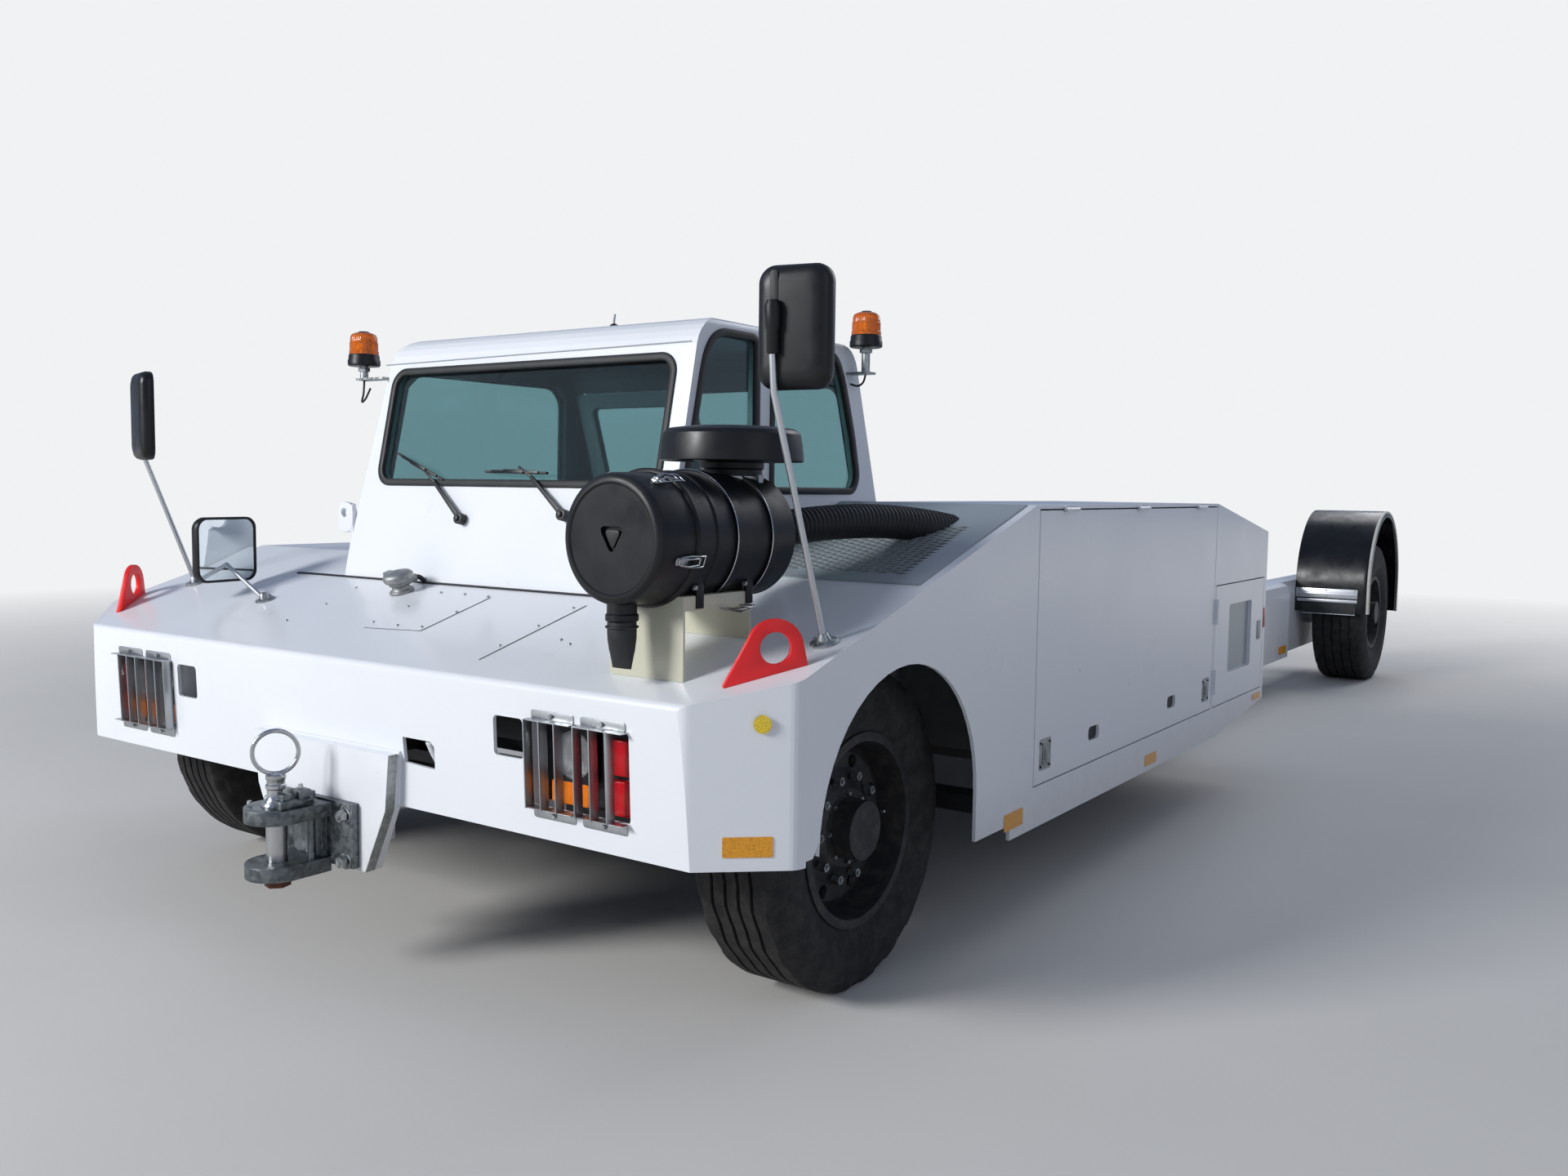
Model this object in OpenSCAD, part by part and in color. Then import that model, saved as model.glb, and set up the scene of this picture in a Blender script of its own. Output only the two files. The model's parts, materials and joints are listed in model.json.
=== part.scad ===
// Towbarless aircraft tractor. Millimetres, front of the vehicle along +X, left side along +Y,
// ground at z = 0. Lengths are measured from the front axle, then shifted by origin_x.

/* [Body] */
// Overall width of the front body
body_w = 3346; // [3000:1:3600]
// Bumper face ahead of the front axle
nose_x = 821; // [760:1:900]
// Height of the bend between bumper and deck
nose_z = 975; // [940:1:1010]
// Height of the bumper's bottom edge
nose_base = 548; // [500:1:600]
// Backward lean of the bumper face over its height
nose_lean = 17; // [0:1:30]
// Width of the flat bumper face
face_w = 2882; // [2700:1:3000]
// Length of the corner plates along the vehicle
corner_run = 202; // [180:1:240]
// Radius of the bumper's upright bends
corner_r = 60; // [40:1:80]
// Radius of the bend between bumper and deck
nose_r = 22; // [14:1:26]
// Rise of the sloping deck per unit of length
deck_rise = 0.31; // [0.29:0.01:0.33]
// Steel plate of the body
plate = 12; // [8:1:16]
// Height of the engine bay's top
bay_z = 1479; // [1420:1:1540]
// Engine bay's wall next to the cab
bay_y = 868; // [862:1:900]
// Rear end of the bay's level top, behind the front axle
bay_flat = 2906; // [2700:1:3000]
// Rear end of the body, behind the front axle
body_len = 3835; // [3750:1:3900]
// Height of the bay's top at its rear end
bay_end_z = 1327; // [1280:1:1360]
// Height of the low deck on the right
low_z = 1245; // [1220:1:1270]
// Height of the sill between arch and skirt
sill_z = 398; // [380:1:420]
// Height of the skirt's bottom edge
skirt_z = 345; // [320:1:370]
// Front end of the skirt, behind the front axle
skirt_x = 650; // [620:1:700]
// Height of the body's bottom edge at its rear end
tail_z = 430; // [400:1:460]
// Radius of the wheel arch
arch_r = 460; // [440:1:480]
// Arch centre ahead of the front axle
arch_x = 67; // [40:1:80]
// Arch centre above the ground
arch_z = 563; // [540:1:580]
// Running gap around doors and lids
door_gap = 6; // [5:1:10]

/* [Doors] */
// Front edge of the engine door, behind the front axle
edoor_x = 834; // [820:1:900]
// Edge between engine door and service door
sdoor_x = 2901; // [2700:1:2905]
// Rear edge of the service door
sdoor_end = 3790; // [3600:1:3800]
// Bottom edge of both doors
door_z = 491; // [470:1:520]
// Top edge of the service door
sdoor_top = 1088; // [1000:1:1150]
// Thickness of the doors
door_t = 30; // [20:1:36]

/* [Cab] */
// Cab wall, skin and lining together
cab_t = 40; // [30:1:45]
// Foot of the windscreen wall ahead of the front axle
cab_x = 205; // [190:1:215]
// Height of that foot
cab_foot = 1166; // [1150:1:1180]
// Left wall of the cab
cab_left = 850; // [830:1:852]
// Right wall of the cab
cab_right = 745; // [720:1:748]
// Inward lean of the right wall at the roof
cab_tumble = 72; // [0:1:90]
// Roof height
roof_z = 2085; // [2040:1:2120]
// Underside of the cab's floor
cab_floor = 642; // [638:1:660]
// Rear face of the cab at the roof bend, behind the front axle
cab_back = 942; // [900:1:960]
// Thickness of the panes
glass_t = 6; // [4:1:8]

/* [Front axle] */
// Tyre radius
f_tyre_r = 492; // [480:1:496]
// Tyre width
f_tyre_w = 304; // [290:1:310]
// Wheel centre from the middle of the vehicle
f_track = 1350; // [1340:1:1356]
// Kingpin from the middle of the vehicle
king_y = 1110; // [1090:1:1120]
// Kingpin radius
king_r = 32; // [28:1:36]
// Steering lever length
lever = 190; // [170:1:210]
// Rim radius at the bead
rim_r = 286; // [280:1:288]
// Spindle radius
spindle_r = 45; // [40:1:50]
// Clearance of pins and spindles
fit = 0.3; // [0.2:0.1:0.5]

/* [Rear axle] */
// Distance between the axles
wheelbase = 8240; // [8000:10:8600]
// Tyre radius
r_tyre_r = 560; // [540:1:565]
// Tyre width
r_tyre_w = 410; // [390:1:420]
// Wheel centre from the middle of the vehicle
r_track = 1250; // [1240:1:1260]
// Inner radius of the fender's sheet
fender_r = 620; // [600:1:660]
// Fender sheet
fender_t = 8; // [5:1:10]
// Outer side of the fender from the middle
fender_y = 1500; // [1490:1:1540]
// Height of the fender's middle
fender_z = 770; // [750:1:790]
// Radius of the opening in the fender's outer side
fender_open = 578; // [572:1:600]
// Bottom edge of the fender in front of the wheel
fender_front = 590; // [560:1:620]
// Bottom edge of the fender behind the wheel
fender_rear = 530; // [500:1:560]

/* [Rear frame] */
// Outer side of the arms ahead of the wheels
arm_out = 1030; // [1010:1:1040]
// Inner side of the arms
arm_in = 780; // [760:1:800]
// Outer side of the arms beside the wheels
arm_tail_out = 945; // [930:1:960]
// Underside of the arms
arm_base = 270; // [250:1:300]
// Top of the arms
arm_top = 840; // [800:1:860]
// Step in the arms' outer side, ahead of the rear axle
arm_step = 1160; // [1000:10:1300]
// Length of the arms behind the rear axle
arm_tail = 560; // [500:10:600]
// Length of the box behind the body
cross_len = 515; // [450:5:600]

/* [Cradle] */
// Half width of the cradle
cradle_y = 700; // [660:1:720]
// Pivot height
cradle_z = 600; // [560:1:640]
// Underside of the tray
tray_z = 190; // [180:1:220]
// Length of the tray
tray_len = 1300; // [1200:10:1400]
// Gate pivots ahead of the rear axle
gate_run = 870; // [800:10:950]

/* [Hitch] */
// Tow pin ahead of the front axle
pin_x = 1008; // [990:1:1030]
// Underside of the upper jaw
jaw_z = 495; // [480:1:510]
// Underside of the lower jaw
jaw_low = 322; // [310:1:340]
// Jaw plate thickness
jaw_t = 44; // [36:1:50]
// Radius of the jaws' rounded ends
jaw_r = 95; // [85:1:105]
// Tow pin radius
pin_r = 32; // [28:1:36]

/* [Hidden] */
$fn = 48;
rear_end = wheelbase + fender_r + 20;
origin_x = (rear_end - pin_x - jaw_r) / 2;
arm_end = wheelbase + arm_tail;
step_line = wheelbase - arm_step;
cross_end = body_len + cross_len;
cradle_x = cross_end + 210;
tray_end = wheelbase - gate_run;
tray_x = tray_end - tray_len;
half_w = body_w / 2;
in_w = half_w - plate;
corner_x = nose_x - corner_run;
corner_dy = half_w - face_w / 2;
corner_n = [corner_dy, corner_run] / norm([corner_dy, corner_run]);
lamp_w = 364;
lamp_y = face_w / 2 - lamp_w - 177;
function deck_z(x) = nose_z + (nose_x - x) * deck_rise;
function deck_x(z) = nose_x - (z - nose_z) / deck_rise;
deck_v = plate * sqrt(1 + deck_rise * deck_rise);
seam_x = corner_x - corner_r * (1 - corner_n[1]) / corner_n[0] - 2;
function arc(cx, cz, r, a0, a1, n) =
    [for (i = [0:n]) [cx + r * cos(a0 + (a1 - a0) * i / n), cz + r * sin(a0 + (a1 - a0) * i / n)]];
// Corner b between a and c, rounded to radius r
function bend(a, b, c, r, n = 5) = let (u = (a - b) / norm(a - b), v = (c - b) / norm(c - b),
    h = acos(u * v) / 2, m = b + (u + v) / norm(u + v) * r / sin(h),
    p = b + u * r / tan(h) - m, q = b + v * r / tan(h) - m,
    a0 = atan2(p[1], p[0]), turn = (atan2(q[1], q[0]) - a0 + 540) % 360 - 180)
    arc(m[0], m[1], r, a0, a0 + turn, n);
function lean_x(z) = nose_x - nose_lean * (nose_z - z) / (nose_z - nose_base);
cab_slope = 0.2126;
front_n = sqrt(1 + cab_slope * cab_slope);
back_slope = 0.3126;
back_n = sqrt(1 + back_slope * back_slope);
roof_r = 120;
side_r = 75;
left_r = 30;
tumble = cab_tumble / 676;
tumble_n = sqrt(1 + tumble * tumble);
function right_y(z) = -cab_right + (z - 1300) * tumble;
function front_x(z) = cab_x - (z - cab_foot) * cab_slope;
back_bend = 2023;
function back_x(z) = -cab_back - (back_bend - z) * back_slope;
step_x0 = 1400;
step_x1 = 2020;
step_z = 500;
step_y = 0;
hatch_x = step_x1 + 130;
hatch_end = body_len - 235;
hatch_top = 1150;
platform_y = 640;
platform_z = 656;
seat_gap = 0.2;
deck_gap = 0.6;
rail_top = 632;
rail_low = 520;
rail_r = 14;
rail_y = [500, 620];
cross_at = [0.18, 0.39, 0.65, 0.91];
hub_z = f_tyre_r - 2;
rear_z = r_tyre_r - 2;

module yplate(y0, y1, pts)
    translate([0, y1, 0]) rotate([90, 0, 0]) linear_extrude(height = y1 - y0) polygon(pts);
module zplate(z0, z1, pts)
    translate([0, 0, z0]) linear_extrude(height = z1 - z0) polygon(pts);
module xplate(x0, x1, pts)
    translate([x0, 0, 0]) rotate([90, 0, 90]) linear_extrude(height = x1 - x0) polygon(pts);
module box(a, b) translate(a) cube(b - a);
module ycyl(x, z, r, y0, y1) translate([x, y1, z]) rotate([90, 0, 0]) cylinder(r = r, h = y1 - y0);
module both() {
    children();
    mirror([0, 1, 0]) children();
}
module place() translate([origin_x, 0, 0]) children();
function rrect(x0, z0, x1, z1, r) = concat(
    arc(x1 - r, z1 - r, r, 0, 90, 5), arc(x0 + r, z1 - r, r, 90, 180, 5),
    arc(x0 + r, z0 + r, r, 180, 270, 5), arc(x1 - r, z0 + r, r, 270, 360, 5));

// Plan of the nose, drawn in by o
function plan(o, back) = let (k = o * (1 - corner_n[0]) / corner_n[1], m = o * (1 - corner_n[1]) / corner_n[0],
    r = max(corner_r - o, 2), y = half_w - o, f = face_w / 2 - k, x0 = corner_x - m, x1 = nose_x - o)
    concat([[back, -y]], bend([back, -y], [x0, -y], [x1, -f], r), bend([x0, -y], [x1, -f], [x1, 0], r),
        bend([x1, 0], [x1, f], [x0, y], r), bend([x1, f], [x0, y], [back, y], r), [[back, y]]);

// What the bend between bumper and deck takes off the sharp corner
module nose_bend() yplate(-half_w - 1, half_w + 1, concat(
    bend([lean_x(nose_base), nose_base], [nose_x, nose_z], [0, deck_z(0)], nose_r, 6),
    [[nose_x - 60, nose_z + 90], [nose_x + 60, nose_z + 90], [nose_x + 60, nose_z - 60]]));

// Space inside the bumper, which also trims the deck
module nose_space() intersection() {
    zplate(0, 2000, plan(plate, -body_len));
    yplate(-half_w, half_w, [[-body_len, 0], [lean_x(0) - plate, 0], [lean_x(2000) - plate, 2000],
        [-body_len, 2000]]);
}

// Side profile of the body
function side_top(tall) = tall
    ? [[seam_x, deck_z(seam_x)], [deck_x(bay_z), bay_z], [-bay_flat, bay_z], [-body_len, bay_end_z]]
    : [[seam_x, deck_z(seam_x)], [deck_x(low_z), low_z], [-body_len, low_z]];
function side_bottom() = concat([[-body_len, tail_z], [-3000, skirt_z], [-skirt_x, skirt_z],
    [-skirt_x, sill_z], [arch_x - arch_r, sill_z]],
    arc(arch_x, arch_z, arch_r, 180, 0, 24), [[arch_x + arch_r, arch_z + 40],
    [arch_x + arch_r + 30, nose_base + 16], [seam_x, nose_base + 16]]);

module bumper() color([0.92, 0.93, 0.94]) place() {
    nose();
    hitch_plate();
}
module nose() difference() {
    intersection() {
        zplate(0, 2000, plan(0, seam_x));
        yplate(-half_w, half_w, [[seam_x, nose_base], [lean_x(nose_base), nose_base], [nose_x, nose_z],
            [seam_x, deck_z(seam_x)]]);
    }
    difference() {
        nose_space();
        // inward lip along the bottom edge
        difference() {
            box([seam_x, -half_w, nose_base], [nose_x, half_w, nose_base + plate]);
            zplate(0, 1000, plan(70, -100));
        }
        // the gusset walls that carry the lamps
        both() for (y = [lamp_y - 16, lamp_y + lamp_w + 4])
            box([nose_x - 150, y, nose_base], [nose_x, y + plate, nose_z - 20]);
    }
    nose_bend();
    // lamp openings, tie-down slots and the service hole
    both() xplate(nose_x - 200, nose_x + 10, rrect(lamp_y, 640, lamp_y + lamp_w, 884, 12));
    both() xplate(nose_x - 60, nose_x + 10, rrect(lamp_y - 148, 763, lamp_y - 30, 878, 14));
    xplate(nose_x - 60, nose_x + 10, [[358, 688], [352, 765], [478, 765], [495, 750], [495, 682]]);
}

module deck() color([0.92, 0.93, 0.94]) place() difference() {
    union() {
        intersection() {
            zplate(0, 2000, plan(plate + deck_gap, -body_len));
            difference() {
                deck_form(0, 0, 0);
                deck_form(deck_v, plate, 100);
            }
        }
        // wall between the raised left slope and the cab
        yplate(bay_y - plate, bay_y, [[cab_x, deck_z(cab_x) - 60], [cab_x, deck_z(cab_x) - 5],
            [deck_x(bay_z + 5), bay_z], [deck_x(bay_z + 5), bay_z - 200]]);
    }
    box([-2000, bay_y - plate - 1, 0], [deck_x(bay_z), half_w, 2000]);
    box([-2000, -cab_right - door_gap, 0], [cab_x + door_gap, bay_y - plate, 2000]);
    box([-2000, -half_w, 0], [-step_x0, -cab_right, 2000]);
    nose_bend();
    // mouth under the intake panel
    on_deck() zplate(-60, 60, [[mesh_x[0] + 10, mesh_y[0] - 10], [mesh_x[0] + 10, mesh_y[2] + 40],
        [mesh_x[2] - 10, mesh_y[2] + 40], [mesh_x[2] - 10, mesh_y[0] - 10]]);
}
// Everything below the deck's skin: the slope lowered by v, the low part on the right by p, m longer and wider
module deck_form(v, p, m) difference() {
    yplate(-in_w - m, in_w + m, [[nose_x + 50 + m, deck_z(nose_x + 50 + m) - v],
        [nose_x - 2500 - m, deck_z(nose_x - 2500 - m) - v], [nose_x - 2500 - m, 0], [nose_x + 50 + m, 0]]);
    box([-3000, -in_w - m - 1, low_z - p], [0, -cab_right - door_gap, 3000]);
}

// Frame on the sloping deck: x forwards down the slope, y left, z off the surface, zero at the front axle
module on_deck() translate([0, 0, deck_z(0)]) rotate([0, atan(deck_rise), 0]) children();
mesh_x = [-115, -590, -765];
mesh_y = [bay_y + 47, half_w - 373, half_w - 113];
mesh_cell = [27, 62];
mesh_wire = 4;

// Removable panel with the expanded metal grille and the hose hole
module intake_panel() color([0.62, 0.66, 0.7]) place() difference() {
    on_deck() translate([0, 0, seat_gap]) linear_extrude(height = 5) panel_outline();
    hose_path(hose_r + 6);
}
// Sheet with both grille fields, the narrow one beside the hose
module panel_outline() difference() {
    translate([-835, bay_y + 17]) square([787, half_w - 50 - bay_y]);
    grille(mesh_x[1], mesh_x[0], mesh_y[0], mesh_y[2]);
    grille(mesh_x[2], mesh_x[1] - 14, mesh_y[0], mesh_y[1]);
}
// Diamond holes of expanded metal that fill x0...x1 by y0...y1
module grille(x0, x1, y0, y1) {
    nx = floor((x1 - x0) / mesh_cell[0]);
    ny = floor((y1 - y0) / mesh_cell[1]);
    for (i = [1:nx * 2 - 1], j = [1:ny * 2 - 1])
        if ((i + j) % 2 == 0) translate([x0 + i * (x1 - x0) / nx / 2, y0 + j * (y1 - y0) / ny / 2])
            diamond((x1 - x0) / nx / 2 - mesh_wire / 2, (y1 - y0) / ny / 2 - mesh_wire);
}
module diamond(a, b) polygon([[a, 0], [0, b], [-a, 0], [0, -b]]);

module side_left() color([0.92, 0.93, 0.94]) place() {
    difference() {
        yplate(in_w, half_w, concat(side_top(true), side_bottom()));
        box([-sdoor_x - door_gap / 2, in_w - 1, door_z], [-edoor_x, half_w + 1, bay_z - plate]);
        box([-sdoor_end, in_w - 1, door_z], [-sdoor_x - door_gap / 2 - 20, half_w + 1, sdoor_top]);
    }
    bay_hinges() hinge_fixed();
    service_hinges() hinge_fixed();
}
module side_right() color([0.92, 0.93, 0.94]) place() {
    difference() {
        yplate(-half_w, -in_w, concat(side_top(false), side_bottom()));
        box([-step_x1, -half_w - 1, step_z], [-step_x0, -in_w + 1, 2000]);
        box([-hatch_end, -half_w - 1, door_z], [-hatch_x, -in_w + 1, hatch_top]);
    }
    hatch_hinges() hinge_fixed();
    // grab rail at the step
    translate([-step_x0 + 40, -half_w - 53, 640]) cylinder(r = rail_r, h = 520);
    for (z = [670, 1130]) ycyl(-step_x0 + 40, z, rail_r - 2, -half_w - 53, -half_w + 1);
}

module bay_roof() color([0.92, 0.93, 0.94]) place() {
    x0 = deck_x(bay_z) - 0.3;
    x1 = -body_len + plate;
    yplate(bay_y - plate, in_w, [[x0, bay_z], [-bay_flat, bay_z], [x1, bay_end_z + 1.9],
        [x1, bay_end_z - plate], [-bay_flat, bay_z - plate - 1], [x0, bay_z - deck_v]]);
    // wall towards the cab and the low deck
    yplate(bay_y - plate, bay_y, [[x0 - 1, bay_z - 5], [-bay_flat, bay_z - 5], [x1, bay_end_z - 5],
        [x1, low_z - plate], [x0 - 1, low_z - plate]]);
}

module low_deck() color([0.92, 0.93, 0.94]) place()
    zplate(low_z - plate, low_z, [[-body_len + plate, -in_w], [-step_x1, -in_w], [-step_x1, step_y],
        [back_x(low_z - plate) - door_gap, step_y],
        [back_x(low_z - plate) - door_gap, bay_y - plate], [-body_len + plate, bay_y - plate]]);

// Well with the step and the platform at the cab's rear door
module step_well() color([0.85, 0.86, 0.87]) place() {
    box([-step_x1, -in_w, step_z - plate], [-step_x0, -platform_y, step_z]);
    box([-step_x1, -platform_y, platform_z - plate], [-step_x0, step_y + plate, platform_z]);
    box([-step_x1, -platform_y - plate, step_z - plate], [-step_x0, -platform_y, platform_z]);
    box([-step_x1 - plate, -in_w, step_z - plate], [-step_x1, -platform_y, low_z - plate]);
    box([-step_x1 - plate, -platform_y, platform_z - plate], [-step_x1, step_y + plate, low_z - plate]);
    box([-step_x0, -in_w, step_z - plate], [-step_x0 + plate, -cab_right - door_gap, low_z - plate]);
    box([-step_x1, step_y, platform_z - plate], [-step_x0, step_y + plate, low_z - plate]);
}

module rear_wall() color([0.92, 0.93, 0.94]) place()
    xplate(-body_len, -body_len + plate, [[-in_w, tail_z], [in_w, tail_z], [in_w, bay_end_z],
        [bay_y - plate, bay_end_z], [bay_y - plate, low_z], [-in_w, low_z]]);

module chassis() color([0.16, 0.17, 0.18]) place() {
    both() difference() {
        yplate(rail_y[0], rail_y[1], [[nose_x - 130, rail_low], [nose_x - 130, rail_top],
            [-body_len + plate, rail_top], [-body_len + plate, 330], [-skirt_x, 330],
            [-skirt_x + 200, rail_low]]);
        yplate(rail_y[0] + 14, rail_y[1] - 14, [[nose_x - 144, rail_low + 14], [nose_x - 144, rail_top - 14],
            [-body_len + 40, rail_top - 14], [-body_len + 40, 344], [-skirt_x - 6, 344],
            [-skirt_x + 194, rail_low + 14]]);
    }
    for (x = concat([nose_x - 220], [for (k = cross_at) -k * body_len]))
        box([x - 60, -rail_y[0], rail_low], [x + 60, rail_y[0], 610]);
    // outriggers to the body's sides
    both() for (k = cross_at) box([-k * body_len - 50, rail_y[1] - 5, 420], [-k * body_len + 50, in_w, 480]);
    // belly plate on the right
    box([-3000, -in_w, skirt_z], [-skirt_x - 6, -rail_y[1] + 5, skirt_z + 6]);
    // cab mounts
    for (x = [60, -1150], y = [-560, 560])
        translate([x, y, rail_top]) cylinder(r = 45, h = cab_floor - rail_top);
}

// Engine across the left side: block, sump, head covers, radiator with cowl, gearbox
module engine() color([0.25, 0.27, 0.28]) place() {
    x0 = -sdoor_x + 250;
    x1 = -edoor_x - 420;
    y1 = half_w - 213;
    y0 = y1 - 440;
    box([x0 + 500, y0, 560], [x1 - 120, y1, 1130]);
    yplate(y0 + 40, y1 - 40, [[x0 + 520, 565], [x0 + 640, 495], [x1 - 260, 495], [x1 - 180, 530],
        [x1 - 180, 565]]);
    for (i = [0:2]) xplate(x0 + 560 + i * 230, x0 + 770 + i * 230, rrect(y0 + 60, 1120, y1 - 60, 1230, 30));
    box([x1 - 130, y0 - 20, 640], [x1 - 60, y1 + 20, 1020]);
    box([x1 - 70, y0 - 120, 500], [x1, y1 + 90, 1280]);
    translate([x0 + 120, (y0 + y1) / 2, 760]) rotate([0, 90, 0]) cylinder(r1 = 150, r2 = 245, h = 400);
    translate([x0, (y0 + y1) / 2, 760]) rotate([0, 90, 0]) cylinder(r = 90, h = 140);
    // manifold and exhaust along the outer side
    translate([x0 + 540, y1 + 30, 1010]) rotate([0, 90, 0]) cylinder(r = 45, h = x1 - x0 - 720);
    for (i = [0:5]) ycyl(x0 + 600 + i * 110, 1010, 30, y1 - 10, y1 + 30);
    // feet on the frame rail
    for (x = [x0 + 600, x1 - 300]) box([x - 40, rail_y[1], 560], [x + 40, y0 + 10, 620]);
}

// Side and cross profile of the cab, drawn in by t
function cab_side(t) = let (zf = roof_z - roof_r, zb = roof_z - 12 - roof_r,
    xf = front_x(zf) - roof_r * front_n, xb = back_x(zb) + roof_r * back_n, z0 = cab_floor + t)
    concat([[cab_x - t, z0], [cab_x - t, cab_foot - t * (front_n - 1) / cab_slope]],
    arc(xf, zf, roof_r - t, atan(cab_slope), 90, 6), arc(xb, zb, roof_r - t, 90, 180 - atan(back_slope), 6),
    [[back_x(z0) + t * back_n, z0]]);
function cab_cross(t) = let (zr = roof_z - side_r, yr = right_y(zr) + side_r * tumble_n,
    rl = max(left_r - t, 3))
    concat([[cab_left - t, cab_floor + t]], arc(cab_left - t - rl, roof_z - t - rl, rl, 0, 90, 6),
    arc(yr, zr, side_r - t, 90, 180 - atan(tumble), 6),
    [[-cab_right + t, 1300 - t * (tumble_n - 1) / tumble], [-cab_right + t, cab_floor + t]]);
module cab_form(t) intersection() {
    yplate(-1000, 1000, cab_side(t));
    xplate(-2000, 1000, cab_cross(t));
}
// Frame on the leaning rear wall: -x outwards, z up along the wall from the ground
module on_back() translate([back_x(0), 0, 0]) rotate([0, atan(back_slope), 0]) children();
module back_rect(y0, z0, y1, z1, r, d0, d1) on_back()
    xplate(d0, d1, rrect(y0, z0 * back_n, y1, z1 * back_n, r));
module screen_cut(grow) xplate(-80, 300, rrect(-628 - grow, 1535 - grow, 765 + grow, 1950 + grow, 55));
module left_cut(i) yplate(cab_left - 100, cab_left + 50, i == 0
    ? [[82, 1540], [-298, 1540], [-298, 2036], [-100, 2036], [-52, 2012], [-20, 1965], [-2, 1906]]
    : [[-395, 1522], [-395, 2036], [-745, 2036], [-815, 2000], [-862, 1900], [-922, 1730], [-962, 1575],
        [-935, 1522]]);
module right_cut() yplate(-cab_right - 50, -cab_right + 190, [[40, 1420], [-940, 1420], [-900, 1900],
    [-840, 1960], [-90, 1960], [-30, 1900]]);
rear_win = [[20, 1330], [760, 1930]];
module rear_cut() back_rect(rear_win[0][0], rear_win[0][1], rear_win[1][0], rear_win[1][1], 50, -20, 120);
door_lo = [-616, cab_floor + 60];
door_hi = [-34, 1945];
door_win = [[-550, 1330], [-100, 1880]];
module door_rect(g, d0, d1)
    back_rect(door_lo[0] + g, door_lo[1] + g, door_hi[0] - g, door_hi[1] - g, 40, d0, d1);
module door_window()
    back_rect(door_win[0][0], door_win[0][1], door_win[1][0], door_win[1][1], 40, -20, 120);
module door_hinges() on_back() for (z = [door_lo[1] + 200, door_hi[1] - 200])
    translate([-8, door_lo[0] + door_gap / 2, z * back_n]) rotate([90, -90, 0]) children();
module cab_shell() color([0.92, 0.93, 0.94]) place() {
    difference() {
        cab_form(0);
        cab_form(cab_t);
        screen_cut(0);
        left_cut(0);
        left_cut(1);
        right_cut();
        rear_cut();
        door_rect(0, -20, 120);
    }
    door_hinges() hinge_fixed();
}
// Pane seated in its window, the given depth below the skin
module pane(depth) intersection() {
    difference() {
        cab_form(depth);
        cab_form(depth + glass_t);
    }
    children();
}
module windscreen() color([0.5, 0.7, 0.72, 0.4]) place() pane(14) screen_cut(0);
module cab_glass() color([0.5, 0.7, 0.72, 0.4]) place() {
    pane(14) left_cut(0);
    pane(14) left_cut(1);
    pane(14) right_cut();
    pane(14) rear_cut();
}
module cab_door() color([0.92, 0.93, 0.94]) place() {
    difference() {
        door_rect(door_gap, 0, cab_t - 6);
        door_window();
    }
    door_hinges() hinge_moving();
}
module door_glass() color([0.5, 0.7, 0.72, 0.4]) place() pane(14) door_window();

// Hinge along x: frame on +z, door on -z, both skins at y = -8
module hinge_fixed() {
    for (s = [-1, 1]) {
        translate([s * 45 - 15, 0, 0]) rotate([0, 90, 0]) cylinder(r = 7, h = 30);
        translate([s * 45 - 15, -8.5, 3.2]) cube([30, 7.5, 10.8]);
    }
    translate([-60, -8.5, 7.8]) cube([120, 6.5, 6.2]);
    translate([-60, 0, 0]) rotate([0, 90, 0]) cylinder(r = 4, h = 120);
}
module hinge_moving() difference() {
    union() {
        translate([-29.7, 0, 0]) rotate([0, 90, 0]) cylinder(r = 7, h = 59.4);
        translate([-29.7, -8.5, -14]) cube([59.4, 7.5, 10.8]);
        translate([-60, -8.5, -14]) cube([120, 6.5, 6.2]);
    }
    translate([-70, 0, 0]) rotate([0, 90, 0]) cylinder(r = 4 + fit, h = 140);
}
hinge_top = bay_z - plate - door_gap / 2;
module bay_hinges() for (x = [-1100, -1860, -2640]) translate([x, half_w + 8, hinge_top]) children();
module service_hinges() for (z = [620, 960])
    translate([-sdoor_x - door_gap / 2 - 20 - door_gap / 2, half_w + 8, z]) rotate([0, 90, 0]) children();
module hatch_hinges() for (x = [-hatch_x - 250, -hatch_end + 250])
    translate([x, -half_w - 8, hatch_top - door_gap / 2])
    mirror([0, 1, 0]) children();

// Floor furniture of the cab
module seat() color([0.12, 0.12, 0.13]) place() translate([-620, 250, cab_floor + cab_t]) {
    cylinder(r = 110, h = 240);
    translate([-230, -250, 240]) cube([480, 500, 120]);
    yplate(-240, 240, [[-230, 340], [-110, 340], [-190, 930], [-300, 930]]);
}
module console() color([0.14, 0.15, 0.16]) place() intersection() {
    union() {
        yplate(-800, 860, [[cab_x, 1000], [cab_x, 1340], [20, 1380], [-120, 1300], [-60, 1000]]);
        translate([-130, 250, cab_floor]) rotate([0, -14, 0]) {
            cylinder(r = 35, h = 740);
            translate([0, 0, 740]) {
                rotate_extrude() translate([205, 0]) circle(r = 14);
                cylinder(r = 60, h = 20);
                for (a = [0, 120, 240]) rotate([0, 0, a]) translate([0, -12, 0]) cube([200, 24, 8]);
            }
        }
    }
    cab_form(cab_t + seat_gap);
}

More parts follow.
